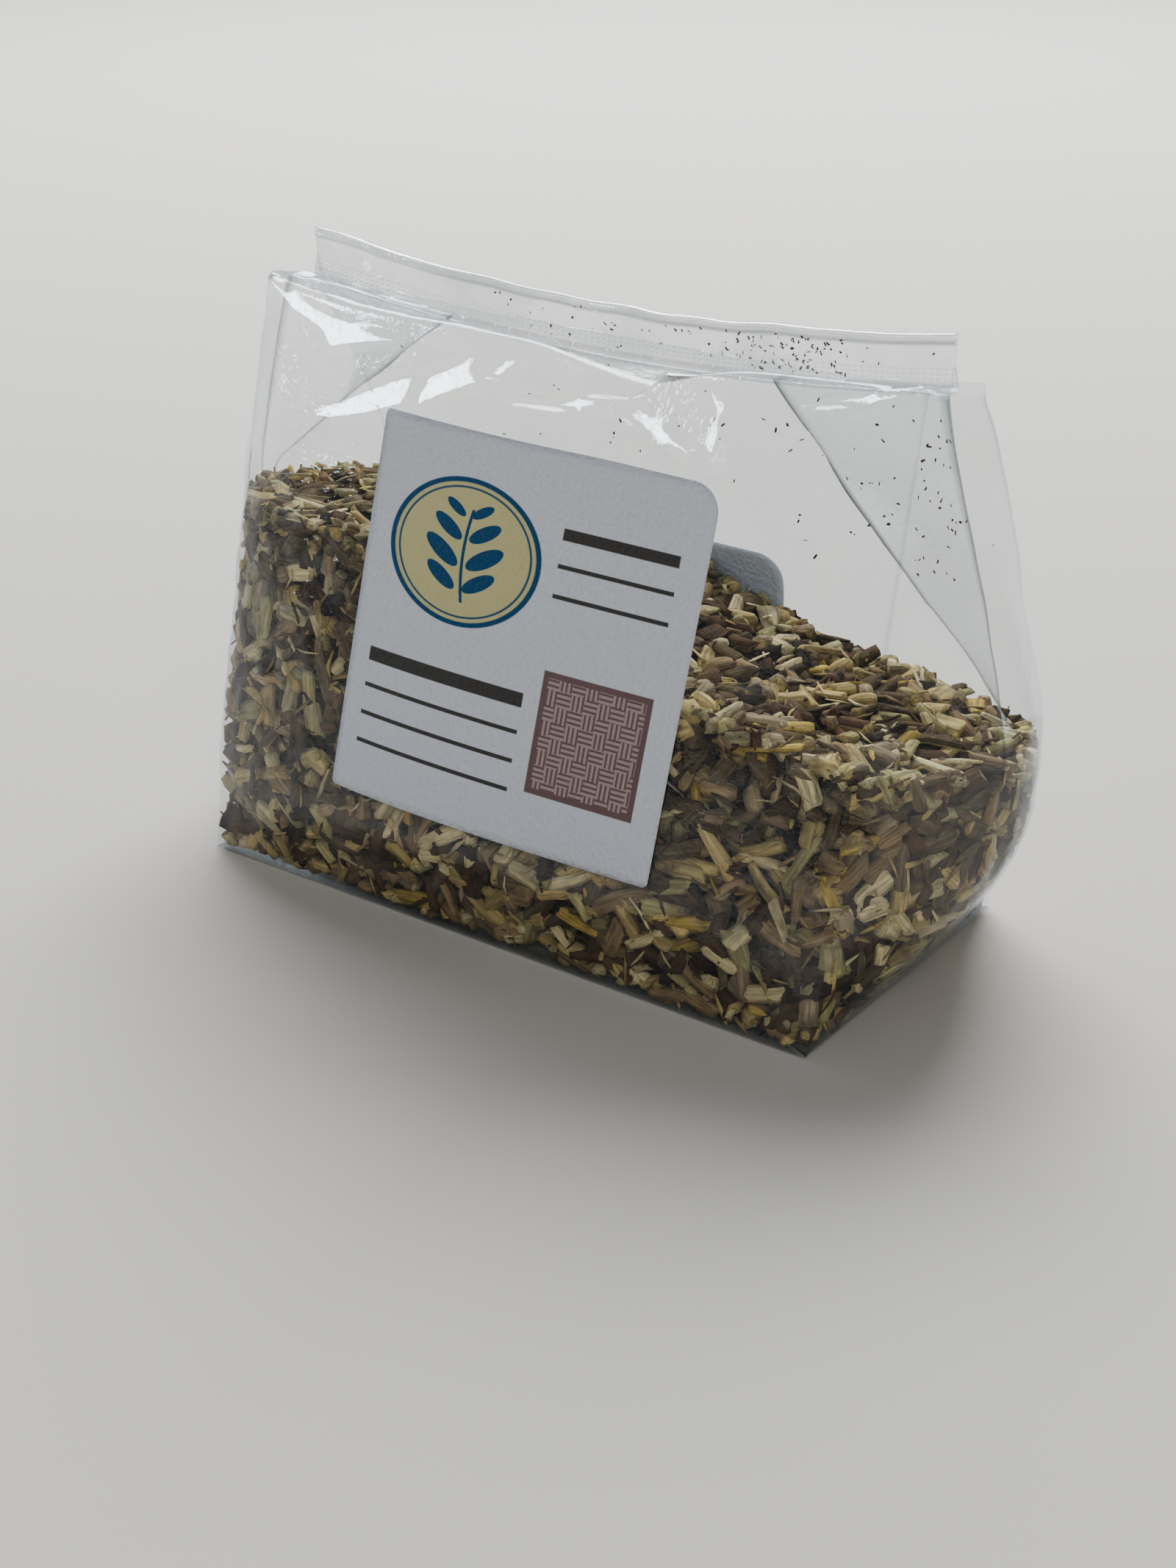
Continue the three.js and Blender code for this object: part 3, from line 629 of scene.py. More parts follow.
def flat_place(tree):
    """The two directions of a piece's UV map, in millimetres, as fields."""
    surface = add_node(tree, "UVMap", uv_map="Surface")
    split = add_node(tree, "SeparateXYZ", {0: surface.outputs[0]})
    return Field(tree, split.outputs[0]), Field(tree, split.outputs[1])


def welded_film(name):
    """The band's film, milkier than the bag's, with three rows of short pale dashes that
    the sealing bar pressed in over its foot: sine waves along and up the band, cut off."""
    material = clear_film(name, 0.09, 0.06, 0.2, 0.06)
    tree = material.node_tree
    along, up = flat_place(tree)
    dashes = (along * (2 * math.pi / DASH_STEP)).math("SINE").math("GREATER_THAN", 0.0)
    rows = (up * (2 * math.pi / DASH_ROW_STEP)).math("SINE").math("GREATER_THAN", 0.1)
    bar_middle, bar_half = 1.2, 0.95
    pressed = dashes * rows * (up - bar_middle).math("ABSOLUTE").below(bar_half) * 0.28
    haze = tree.nodes["Haze"].inputs["Fac"]
    pressed = Field(tree, haze.links[0].from_socket).math("MAXIMUM", pressed)
    tree.links.new(pressed.socket, haze)
    return material


header_film = make_header()
header_film.data.shade_smooth()
header_film.data.materials.append(welded_film("Welded film"))
header_film.data.materials.append(clear_film("Rolled film", 0.12, 0.05, 0.1, 0.2))
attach(header_film, "root")
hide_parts("header_band")

# Heart of the heap
# Deep in the heap only dark gaps between chips show, so its inside is one rough body of packed root and
# dust, coloured nearly black as painted shade for those gaps, and all chips that can be seen lie round it.
HEART_INSET = 5.5
HEART_BASE = 3.0
HEART_COLUMNS = (40, 5, 3, 10, 32, 10, 3, 5)
LUMP_HEIGHT, LUMP_LENGTH = 0.9, 9.0


def film_inside():
    """Points over the film's walls and base with their outward normals, close enough
    together that the nearest one stands for the film beside any chip."""
    u = round_steps((44, 9, 5, 14, 36, 14, 5, 9))
    grid = bag_surface(u[None], np.linspace(0.5, 62, 40)[:, None])
    across, back = np.meshgrid(np.linspace(-50.5, 50.5, 34), np.linspace(-24.5, 24.5, 17))
    base = np.stack([across, back, np.zeros_like(across)], -1).reshape(-1, 3)
    down = np.broadcast_to([0.0, 0.0, -1.0], base.shape)
    points = np.concatenate([grid.reshape(-1, 3), base])
    return points, np.concatenate([normals_of(grid).reshape(-1, 3), down])


film_points, film_normals = film_inside()
film_tree = KDTree(len(film_points))
for number, film_point in enumerate(film_points.tolist()):
    film_tree.insert(film_point, number)
film_tree.balance()


def depth_under_film(points):
    """How deep points lie inside the film, and the film's normal there, by the plane of
    the nearest point on it."""
    nearest = np.array([film_tree.find(point)[1] for point in points.tolist()])
    normal = film_normals[nearest]
    return ((film_points[nearest] - points) * normal).sum(1), normal


def rough_root(name, tint):
    """Dry root: the colour of each chip is its own, drawn over with fibres that run along
    it, darker cracks and specks, and a bump that follows them. Fibres are noise that is
    stretched along the second direction of the piece's UV map, in millimetres."""
    material, tree = new_material(name)
    own = add_node(tree, "Attribute", attribute_name="Tone")
    surface = add_node(tree, "UVMap", uv_map="Surface")
    stretch = add_node(tree, "Mapping", {"Vector": surface.outputs[0], "Scale": (2.1, 0.26, 1.0)})
    fibres = add_node(tree, "TexNoise", {
        "Vector": stretch.outputs[0], "Scale": 1.0, "Detail": 5, "Roughness": 0.62,
    }).outputs["Fac"]
    place = add_node(tree, "TexCoord").outputs["Object"]
    patches = add_node(tree, "TexNoise", {"Vector": place, "Scale": 380, "Detail": 4}).outputs["Fac"]
    shade = add_node(tree, "MapRange", {
        "Value": fibres, "From Min": 0.34, "From Max": 0.66, "To Min": 0.48, "To Max": 1.3,
    })
    spots = add_node(tree, "MapRange", {
        "Value": patches, "From Min": 0.3, "From Max": 0.5, "To Min": 0.6, "To Max": 1.0,
    })
    light = add_node(tree, "Math", {0: shade.outputs[0], 1: spots.outputs[0]}, operation="MULTIPLY")
    colour = add_node(
        tree, "VectorMath", {0: own.outputs["Color"], "Scale": light.outputs[0]}, operation="SCALE",
    )
    warm = add_node(
        tree, "Mix", {"Factor": 1.0, "A": colour.outputs[0], "B": tint}, data_type="RGBA",
        blend_type="MULTIPLY",
    )
    relief = add_node(tree, "Math", {0: patches, 1: 0.5, 2: fibres}, operation="MULTIPLY_ADD")
    bump = add_node(tree, "Bump", {"Height": relief.outputs[0], "Strength": 0.9, "Distance": 0.34 * MM})
    set_shader(tree, 0.85, 0.08, warm.outputs["Result"], bump)
    return material


def set_shader(tree, roughness, specular, colour, bump):
    """The Principled shader's own values, and the colour and bump that feed it."""
    shader = tree.nodes["Principled BSDF"]
    shader.inputs["Roughness"].default_value = roughness
    shader.inputs["Specular IOR Level"].default_value = specular
    tree.links.new(colour, shader.inputs["Base Color"])
    tree.links.new(bump.outputs["Normal"], shader.inputs["Normal"])


def two_tones(tree, place, low, high, ends=(0.0, 1.0)):
    """A colour that goes from low to high as place goes from the first end to the other."""
    ramp = add_node(tree, "ValToRGB", {"Fac": place})
    for stop, colour, end in zip(ramp.color_ramp.elements, (low, high), ends):
        stop.color = (*colour, 1)
        stop.position = end
    return ramp.outputs["Color"]


def core_in_painted_shade(name):
    """Packed root and dust in lumps for the inside of the heap, painted nearly black as the shade of the
    deep gaps, and darkest at the lumps' edges as painted shade in the cracks between them.
    """
    material, tree = new_material(name)
    place = add_node(tree, "TexCoord").outputs["Object"]
    lumps = add_node(tree, "TexVoronoi", {"Vector": place, "Scale": 260}).outputs["Distance"]
    # Painted shade: the core is nearly black, darkest at the edges of its lumps.
    tones = two_tones(tree, lumps, (0.075, 0.05, 0.025), (0.015, 0.01, 0.006), (0.0, 0.8))
    bump = add_node(tree, "Bump", {"Height": lumps, "Distance": 1.2 * MM}, invert=True)
    set_shader(tree, 0.95, 0.05, tones, bump)
    return material


def make_heart():
    """The walls moved in by HEART_INSET, up to that far under the heap's top, with a top
    and a base that close in rings. Its face is uneven by soft waves."""
    u = round_steps(HEART_COLUMNS)
    heights = np.linspace(0, 60, 40)
    plain = bag_surface(u[None], heights[:, None])
    inside = plain - normals_of(plain) * HEART_INSET
    top = heap_z(inside[..., 0], inside[..., 1]) - HEART_INSET - inside[..., 2]
    edge = (top > 0).sum(0) - 1
    shares = np.linspace(0, 1, 12)[:, None]
    walls = bag_surface(u[None], mix(HEART_INSET, heights[edge][None], shares))
    grid = walls - normals_of(walls) * HEART_INSET
    grid[..., 2] = np.maximum(grid[..., 2], HEART_BASE)
    grid[..., 2] += LUMP_HEIGHT * waves(grid[..., 0], grid[..., 1], 31, LUMP_LENGTH) * shares
    rim = grid[-1]
    own = rim[:, 2] - heap_z(rim[:, 0], rim[:, 1])
    rings = []
    for scale in (0.8, 0.6, 0.4, 0.2):
        ring = rim * [scale, scale, 1]
        ring[:, 2] = heap_z(ring[:, 0], ring[:, 1]) + mix(-HEART_INSET, own, scale)
        ring[:, 2] += LUMP_HEIGHT * waves(ring[:, 0], ring[:, 1], 31, LUMP_LENGTH) * (1 - scale)
        rings.append(ring)
    base = [grid[0] * [scale, scale, 1] for scale in (0.25, 0.5, 0.75)]
    rows = np.stack([*base, *grid, *rings])
    count = len(u)
    poles = np.array([[0, 0, rows[0, :, 2].mean()], [0, 0, rings[-1][:, 2].mean()]])
    vertices = np.concatenate([rows.reshape(-1, 3), poles]) + origin
    under = fan_faces(len(vertices) - 2, 0, count)
    over = fan_faces(len(vertices) - 1, (len(rows) - 1) * count, count, True)
    return make_mesh("heap_heart", vertices, [band_faces(len(rows), count), under, over])


heap_heart = make_heart()
heap_heart.data.shade_smooth()
heap_heart.data.materials.append(core_in_painted_shade("Root core in painted shade"))
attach(heap_heart, "root")
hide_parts("cut_root")

# Chips of root
# Licorice root is dried, cut across and sifted: split slivers of straw-yellow wood with
# frayed ends, stubby round pieces still in their bark, and flakes of brown bark.
CHIP_GAP = 0.25
HEAP_ROUGH = 1.0
FIT_LIMIT = 0.3
# The layers of chips: against the walls with their depth, their steps along and up and
# their disorder, on top with their drop, step and disorder, and on the base with their
# height and step
WALL_LAYERS = ((0.8, 3.9, 2.8, 0.35), (2.4, 4.1, 3.0, 0.6), (4.2, 4.8, 3.5, 0.9))
TOP_LAYERS = ((0.4, 3.6, 0.5), (2.2, 3.8, 0.7), (4.2, 4.4, 1.0))
BASE_LAYERS, BASE_DISORDER = ((0.8, 4.2), (2.6, 5.0)), 0.3


def wall_places(draw, depth, along_step, up_step):
    """Places on the walls under the heap's top, in rows with an even step round the bag,
    each moved at random, and their normals. They lie depth under the film's face."""
    fine = np.linspace(0, 8, 600)
    points, normals = [], []
    for level in np.arange(2.0, 58, up_step):
        line = bag_surface(fine, np.full(fine.shape, level))
        length = np.concatenate([[0], np.cumsum(np.linalg.norm(np.diff(line, axis=0), axis=1))])
        count = int(length[-1] / along_step)
        stops = (np.arange(count) + draw.uniform(0, 0.8, count)) * along_step
        u = np.interp(stops, length, fine)
        h = np.maximum(level + draw.uniform(-0.4, 0.4, count) * up_step, 1.2)
        here, normal = film_at(u, h)
        place = here - normal * depth
        under = place[:, 2] < heap_z(place[:, 0], place[:, 1]) - 0.4 - depth * 0.2
        points.append(place[under])
        normals.append(normal[under])
    return np.concatenate(points), np.concatenate(normals)


def level_places(draw, height, step, facing):
    """Places on an even grid over the bag's plan, each moved at random, at height(x, y).
    facing is 1 for the top of the heap and -1 for its base."""
    x, y = np.meshgrid(np.arange(-62, 62, step), np.arange(-26, 27, step * 0.8))
    x = x.ravel() + draw.uniform(-0.45, 0.45, x.size) * step
    y = y.ravel() + draw.uniform(-0.45, 0.45, y.size) * step
    place = np.stack([x, y, height(x, y)], -1)
    depth, _ = depth_under_film(place)
    keep = depth > -1.5
    normal = np.broadcast_to([0.0, 0.0, float(facing)], place.shape)
    return place[keep], normal[keep]


def lumpy_top(offset, height):
    """The heap's top moved by offset, with soft lumps, as a function of x and y."""
    return lambda x, y: heap_z(x, y) + offset + height * waves(x, y, 41, 13.0)


def even_height(rise):
    """The same height everywhere, as a function of x and y."""
    return lambda x, y: np.full(x.shape, rise)


def all_places(draw):
    """Where the chips lie: three layers against the walls and three on top, each deeper
    one thinner and more disordered, and two on the base."""
    layers = []
    for depth, along_step, up_step, disorder in WALL_LAYERS:
        layers.append((*wall_places(draw, depth, along_step, up_step), disorder))
    for drop, step, disorder in TOP_LAYERS:
        layers.append((*level_places(draw, lumpy_top(-drop, 0.9), step, 1), disorder))
    for rise, step in BASE_LAYERS:
        layers.append((*level_places(draw, even_height(rise), step, -1), BASE_DISORDER))
    points, normals = (np.concatenate([layer[i] for layer in layers]) for i in (0, 1))
    disorder = np.concatenate([np.full(len(layer[0]), layer[2]) for layer in layers])
    return points, normals, disorder


def turned_axes(draw, normals, disorder):
    """Three axes for each chip: its length lies along the surface in a random direction,
    and disorder tips it out of the surface."""
    face = unit(normals + draw.normal(size=normals.shape) * disorder[:, None] * 0.6)
    length = unit(np.cross(face, unit(draw.normal(size=normals.shape))))
    return np.stack([length, np.cross(face, length), face], 1)


def chip_vertices(draw, count, kind):
    """Vertices of count chips in their own axes, in rings at the places s along them.

    A section is an uneven many-sided oval, nearly the same all along the chip, so that
    its split faces run straight. It grows or shrinks evenly along the chip by wedge, and
    the two end rings are smaller by bevel. The length bends by a parabola, and the ends
    are cut at a slant and frayed. Two more vertices close them.
    """
    s = np.array(kind["places"])[None, :, None]
    rings, around = s.size, kind["around"]
    length = draw.uniform(*kind["length"], count)[:, None, None] * draw.choice([1, 1, 0.75], (count, 1, 1))
    width = draw.uniform(*kind["width"], count)[:, None, None]
    thickness = draw.uniform(*kind["thickness"], count)[:, None, None]
    angle = np.arange(around) + draw.uniform(-0.3, 0.3, (count, 1, around))
    angle = angle * 2 * math.pi / around
    uneven = 1 + kind["uneven"] * draw.normal(size=(count, 1, around)).clip(-1.8, 1.8)
    uneven = uneven + kind["rough"] * draw.normal(size=(count, rings, around)).clip(-2, 2)
    size = 1 + kind["wedge"] * draw.uniform(-1, 1, (count, 1, 1)) * s
    size = size * (1 - draw.uniform(*kind["bevel"], (count, rings, 1)) * (np.abs(s) > 0.99))
    y = width / 2 * np.cos(angle) * uneven * size
    z = thickness / 2 * np.sin(angle) * uneven * size
    bend = draw.normal(size=(count, 2))[:, :, None, None] * kind["bend"]
    y = y + bend[:, 0] * length * (s**2 - 0.4)
    z = z + bend[:, 1] * length * (s**2 - 0.4)
    z = z - kind["curl"] * width * (y / width) ** 2
    slant = draw.normal(size=(count, 4))[:, :, None, None] * kind["slant"]
    near, far = slant[:, 0] * y + slant[:, 1] * z, slant[:, 2] * y + slant[:, 3] * z
    x = length / 2 * s + np.where(s < 0, near, far) * np.abs(s)
    x = x + kind["fray"] * draw.normal(size=(count, rings, around)) * (np.abs(s) > 0.99)
    grid = np.stack([x, y, z], -1)
    ends = grid[:, [0, -1]].mean(2)
    ends[..., 0] += np.array([-1, 1]) * draw.uniform(-0.2, 0.25, (count, 2))
    flat = np.concatenate([grid.reshape(count, rings * around, 3), ends], 1)
    return flat, length[:, 0, 0], width[:, 0, 0]


def chip_faces(count, rings, around, length, width, draw):
    """The faces of count chips, and their UV: the first direction goes round the chip and
    the second along it, in millimetres, from a random start so that no two are alike."""
    row, i = (part.ravel() for part in np.meshgrid(np.arange(rings - 1), np.arange(around), indexing="ij"))
    j = np.arange(around)
    quads = band_faces(rings, around)
    near_pole, far_pole = rings * around, rings * around + 1
    first_end = fan_faces(near_pole, 0, around)
    last_end = fan_faces(far_pole, (rings - 1) * around, around, True)
    ends = np.concatenate([first_end, last_end])
    step = rings * around + 2
    base = (np.arange(count) * step)[:, None, None]
    start = draw.uniform(0, 500, (count, 1, 1, 2))
    turn = np.stack([i, i + 1, i + 1, i], -1) / around
    way = np.stack([row, row, row + 1, row + 1], -1) / (rings - 1)
    quad_uv = np.stack([turn[None] * width[:, None, None] * 2.6, way[None] * length[:, None, None]], -1)
    end_turn = np.stack([j + 0.5, j + 1, j], -1) / around * 2 * math.pi
    radius = np.array([0, 1, 1])
    end_uv = np.stack([np.cos(end_turn) * radius, np.sin(end_turn) * radius], -1)
    end_uv = np.concatenate([end_uv, end_uv])[None] * width[:, None, None, None] * [0.5, 2.5]
    faces = [(quads[None] + base).reshape(-1, 4), (ends[None] + base).reshape(-1, 3)]
    return faces, [quad_uv + start, end_uv + start]


def draw_tones(draw, tones, count):
    """A colour for each of count chips, from tones of (share, red, green, blue), each
    from a quarter darker to about a fifth lighter."""
    table = np.array(tones)
    pick = draw.choice(len(table), count, p=table[:, 0] / table[:, 0].sum())
    return table[pick, 1:] * draw.uniform(0.75, 1.22, (count, 1))


def paint_tones(piece, side, cut, bark, rings, around):
    """The Tone of each face: side on a chip's sides, cut on its ends, and bark on the
    first two fifths of its sides where it isn't negative."""
    sides = np.repeat(side[:, None], (rings - 1) * around, 1).reshape(len(side), rings - 1, around, 3)
    barked = (bark[:, :1] >= 0)[:, None, None] & (np.arange(around) < around * 0.4)[None, None, :, None]
    sides = np.where(barked, bark[:, None, None], sides).reshape(-1, 3)
    tone = np.concatenate([sides, np.repeat(cut, 2 * around, 0)])
    tone = np.concatenate([tone, np.ones((len(tone), 1))], 1)
    write_attribute(piece, "Tone", "FLOAT_COLOR", "FACE", tone)


def make_chips(name, kind, points, normals, disorder, seed):
    """A piece of many chips of one kind. Each is moved in until none of its corners is nearer to the film
    than CHIP_GAP, or stands more than HEAP_ROUGH over the heap. It is left out if its fifth move is still
    over FIT_LIMIT. The deeper and more disordered a layer is, the darker its chips are painted: painted
    shade that stands in for the shade deep in the heap."""
    draw = np.random.default_rng(seed)
    own, length, width = chip_vertices(draw, len(points), kind)
    axes = turned_axes(draw, normals, disorder)
    placed = np.einsum("kvi,kij->kvj", own, axes) + points[:, None]
    every = np.arange(len(points))
    for _ in range(5):
        corners = placed.reshape(-1, 3)
        depth, way = depth_under_film(corners)
        short = CHIP_GAP - depth
        over = corners[:, 2] - heap_z(corners[:, 0], corners[:, 1]) - HEAP_ROUGH
        way = np.where((over > short)[:, None], [0.0, 0.0, 1.0], way)
        short = np.maximum(short, over).reshape(len(points), -1)
        worst = short.argmax(1)
        push = np.maximum(short[every, worst], 0)
        fits = push < FIT_LIMIT
        way = way.reshape(len(points), -1, 3)[every, worst]
        placed = placed - (way * push[:, None])[:, None]
    placed, length, width = placed[fits], length[fits], width[fits]
    # Painted shade: chips of the deeper, more disordered layers are darkened.
    depth_shade = np.interp(disorder[fits], *SHADE_BY_DISORDER)[:, None]
    count = len(placed)
    rings, around = len(kind["places"]), kind["around"]
    faces, uvs = chip_faces(count, rings, around, length, width, draw)
    piece = make_mesh(name, placed.reshape(-1, 3) + origin, faces, uvs)
    side = draw_tones(draw, kind["tones"], count) * depth_shade
    cut = side * 1.08 if kind["cut_tone"] is None else draw_tones(draw, kind["cut_tone"], count)
    bark = draw_tones(draw, BARK_TONES, count)
    bark[draw.random(count) > kind["barked"]] = -1
    paint_tones(piece, side, cut, bark, rings, around)
    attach(piece, "root")
    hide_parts("cut_root")
    return piece


# Tones of root, as the share of chips, red, green and blue, and how light chips are painted at three
# degrees of disorder, a painted shade that darkens the deeper layers
STRAW = (0.3, 0.56, 0.43, 0.19)
CREAM = (0.22, 0.66, 0.56, 0.32)
GREENISH = (0.2, 0.46, 0.40, 0.19)
YELLOW = (0.05, 0.60, 0.43, 0.12)
TAN = (0.2, 0.36, 0.25, 0.13)
BROWN = (0.5, 0.115, 0.068, 0.034)
GREY_BROWN = (0.3, 0.165, 0.120, 0.064)
BLACKISH = (0.25, 0.045, 0.028, 0.018)
BARK_TONES = (BROWN, GREY_BROWN)
SHADE_BY_DISORDER = (0.35, 0.6, 1.0), (1.0, 0.72, 0.45)
KIND_SHARES = (0.42, 0.18, 0.18, 0.22)

SLIVER = {
    "places": (-1, -0.84, 0, 0.84, 1), "around": 6, "length": (4.4, 9.2), "width": (1.4, 2.7),
    "thickness": (1.0, 2.0), "uneven": 0.25, "rough": 0.05, "bevel": (0.0, 0.32), "wedge": 0.3,
    "bend": 0.03, "curl": 0.0, "slant": 0.35, "fray": 0.22, "barked": 0.3,
    "tones": (STRAW, CREAM, GREENISH, YELLOW, TAN), "cut_tone": None,
}
BLOCK = {
    "places": (-1, -0.76, 0.76, 1), "around": 7, "length": (3.4, 5.8), "width": (2.1, 3.5),
    "thickness": (1.5, 2.6), "uneven": 0.2, "rough": 0.07, "bevel": (0.05, 0.32), "wedge": 0.15,
    "bend": 0.02, "curl": 0.0, "slant": 0.25, "fray": 0.14, "barked": 0.35,
    "tones": (STRAW, CREAM, GREENISH, TAN), "cut_tone": None,
}
NUB = {
    "places": (-1, -0.72, 0, 0.72, 1), "around": 8, "length": (2.9, 5.9), "width": (1.9, 3.1),
    "thickness": (1.7, 2.8), "uneven": 0.07, "rough": 0.05, "bevel": (0.2, 0.5), "wedge": 0.12,
    "bend": 0.04, "curl": 0.0, "slant": 0.12, "fray": 0.05, "barked": 0.0,
    "tones": (TAN, (0.3, 0.34, 0.26, 0.16), STRAW, GREY_BROWN), "cut_tone": (STRAW, CREAM, TAN),
}
BARK = {
    "places": (-1, -0.5, 0.4, 1), "around": 7, "length": (3.8, 8.4), "width": (1.9, 3.7),
    "thickness": (0.6, 1.4), "uneven": 0.2, "rough": 0.15, "bevel": (0.0, 0.5), "wedge": 0.3,
    "bend": 0.05, "curl": 0.5, "slant": 0.4, "fray": 0.3, "barked": 0.0,
    "tones": (BROWN, GREY_BROWN, BLACKISH), "cut_tone": None,
}
SPLINTER = {
    "places": (-1, 0, 1), "around": 5, "length": (2.2, 6.5), "width": (0.3, 0.8),
    "thickness": (0.25, 0.6), "uneven": 0.2, "rough": 0.1, "bevel": (0.2, 0.7), "wedge": 0.3,
    "bend": 0.04, "curl": 0.0, "slant": 0.6, "fray": 0.15, "barked": 0.0,
    "tones": (STRAW, CREAM, YELLOW, TAN, BROWN), "cut_tone": None,
}

sifting = np.random.default_rng(5)
chip_points, chip_normals, chip_disorder = all_places(sifting)
lot = sifting.choice(len(KIND_SHARES), len(chip_points), p=KIND_SHARES)
root_wood = rough_root("Split root wood", (1.0, 1.0, 1.0, 1))
root_bark = rough_root("Root bark", (1.0, 0.97, 0.95, 1))
for number, (name, kind, wood) in enumerate((
    ("root_slivers", SLIVER, root_wood), ("root_blocks", BLOCK, root_wood),
    ("root_nubs", NUB, root_wood), ("root_bark_flakes", BARK, root_bark),
)):
    mine = lot == number
    chips = make_chips(name, kind, chip_points[mine], chip_normals[mine], chip_disorder[mine], 60 + number)
    chips.data.materials.append(wood)

# Splinters
# Sifting leaves thin splinters and fibres among the chips. They lie in the gaps, mostly
# near the film and on top of the heap.
splinter_draw = np.random.default_rng(71)
near_wall = wall_places(splinter_draw, 0.5, 6.0, 4.5)
on_top = level_places(splinter_draw, lumpy_top(0.0, 0.7), 4.6, 1)
splinter_points, splinter_normals = (np.concatenate(pair) for pair in zip(near_wall, on_top))
splinters = make_chips(
    "root_splinters", SPLINTER, splinter_points, splinter_normals,
    np.full(len(splinter_points), 0.35), 72,
)
splinters.data.materials.append(root_wood)

# Root dust
# Fine dark dust clings to the film: a cloud of specks is caught in the right half of the
# header, and some lie inside the front and back panels and the right gusset.
SPECK = {
    "places": (-1, 1), "around": 5, "length": (0.2, 0.55), "width": (0.15, 0.35),
    "thickness": (0.08, 0.16), "uneven": 0.2, "rough": 0.1, "bevel": (0.0, 0.3), "wedge": 0.2,
    "bend": 0.0, "curl": 0.0, "slant": 0.3, "fray": 0.03,
}


def dust_places(draw):
    """Specks in the header, thickest halfway to its right end, and on the inner faces of
    the front panel's right end, the right gusset and the back panel above the heap."""
    x = np.concatenate([draw.normal(27, 6, 80), draw.uniform(-20, 50, 45)])
    x = np.clip(x, -48, 50)
    up = draw.uniform(0.6, 5.2, len(x))
    header = np.stack([x, np.full(len(x), HEADER_Y), seal_z(x) + up], -1)
    backwards = np.broadcast_to([0.0, -1.0, 0.0], header.shape)
    on_front, on_gusset, on_back = (0.6, 1.0, 26), (1.1, 2.9, 50), (4.0, 5.0, 24)
    u = np.concatenate([draw.uniform(*span) for span in (on_front, on_gusset, on_back)])
    h = np.concatenate([draw.uniform(58, 78, 26), draw.uniform(58, 78, 50), draw.uniform(46, 76, 24)])
    here, normal = film_at(u, h)
    return np.concatenate([header, here - normal * 0.4]), np.concatenate([backwards, normal])


def make_dust():
    """Specks are small chips that aren't moved in from the film."""
    draw = np.random.default_rng(81)
    points, normals = dust_places(draw)
    own, length, width = chip_vertices(draw, len(points), SPECK)
    axes = turned_axes(draw, normals, np.full(len(points), 0.1))
    placed = np.einsum("kvi,kij->kvj", own, axes) + points[:, None]
    rings, around = len(SPECK["places"]), SPECK["around"]
    faces, uvs = chip_faces(len(points), rings, around, length, width, draw)
    piece = make_mesh("root_dust", placed.reshape(-1, 3) + origin, faces, uvs)
    tone = draw_tones(draw, (BROWN, BLACKISH, BLACKISH), len(points))
    paint_tones(piece, tone, tone, -np.ones_like(tone), rings, around)
    return piece


root_dust = make_dust()
root_dust.data.materials.append(root_bark)
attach(root_dust, "root")

# Front label
# A square of white felt-marked paper stuck on the front panel, turned by 2.5 degrees. Its
# print is a plain generic design: an oval with a sprig, blank ruled lines and a woven
# patch, in pale yellow, dark blue, grey and mauve brown.
LABEL_THICKNESS = 0.16
LABEL_OFF = 0.12
PANEL_END = 0.999999


def panel_point(side, x, z, distance):
    """The point on the front or back panel at x and z, off by distance along the normal.
    The height h on the panel and the way along it are found by repeated correction."""
    def seat(px, pz):
        h = np.array(pz, float)
        for _ in range(8):
            start = bag_surface(np.full(h.shape, side + 0.0), h)[..., 0]
            end = bag_surface(np.full(h.shape, side + PANEL_END), h)[..., 0]
            along = (px - start) / (end - start)
            point = bag_surface(side + np.clip(along, 0, PANEL_END), h)
            h = h + pz - point[..., 2]
        return point

    point = seat(x, z)
    normal = unit(np.cross(seat(x + 0.3, z) - point, seat(x, z + 0.3) - point))
    outwards = -1.0 if side == 0 else 1.0
    normal *= np.sign(normal[..., 1:2]) * outwards
    return point + normal * distance


def label_outline(width, height, radii, steps):
    """The label's outline, anticlockwise from its lower left: arcs at the corners, with
    straight sides between them in equal steps."""
    signs = ((-1, -1), (1, -1), (1, 1), (-1, 1))
    arcs = []
    for i, ((right, up), radius) in enumerate(zip(signs, radii)):
        angle = math.pi * (1 + i / 2) + np.linspace(0, math.pi / 2, 9)
        middle = np.array([right * (width / 2 - radius), up * (height / 2 - radius)])
        arcs.append(middle + radius * np.stack([np.cos(angle), np.sin(angle)], -1))
    share = np.linspace(0, 1, steps + 1)[1:-1, None]
    sides = [mix(arcs[i][-1], arcs[(i + 1) % 4][0], share) for i in range(4)]
    return np.concatenate([part for pair in zip(arcs, sides) for part in pair])


def make_label(name, side, size, place, tilt, radii):
    """The label's outer face in rings from its middle, laid on the panel. Its UV is the
    flat place on the paper in millimetres. Solidify then gives it its thickness."""
    outline = label_outline(*size, radii, 22)
    scales = np.linspace(0, 1, 23)[1:, None, None]
    flat = outline[None] * scales
    turn = math.radians(tilt)
    x = place[0] + flat[..., 0] * math.cos(turn) - flat[..., 1] * math.sin(turn)
    z = place[1] + flat[..., 0] * math.sin(turn) + flat[..., 1] * math.cos(turn)
    grid = panel_point(side, x, z, LABEL_OFF + LABEL_THICKNESS)
    middle = panel_point(side, np.array([place[0]]), np.array([place[1]]), LABEL_OFF + LABEL_THICKNESS)
    rows, count = grid.shape[:2]
    vertices = np.concatenate([grid.reshape(-1, 3), middle]) + origin
    fan = fan_faces(rows * count, 0, count, True)
    band = band_faces(rows, count)[:, ::-1]
    outwards = slice(None) if side == 0 else slice(None, None, -1)
    faces = [fan[:, outwards], band[:, outwards]]
    paper = np.concatenate([flat.reshape(-1, 2), [[0, 0]]])
    return make_mesh(name, vertices, faces, [paper[f] for f in faces])


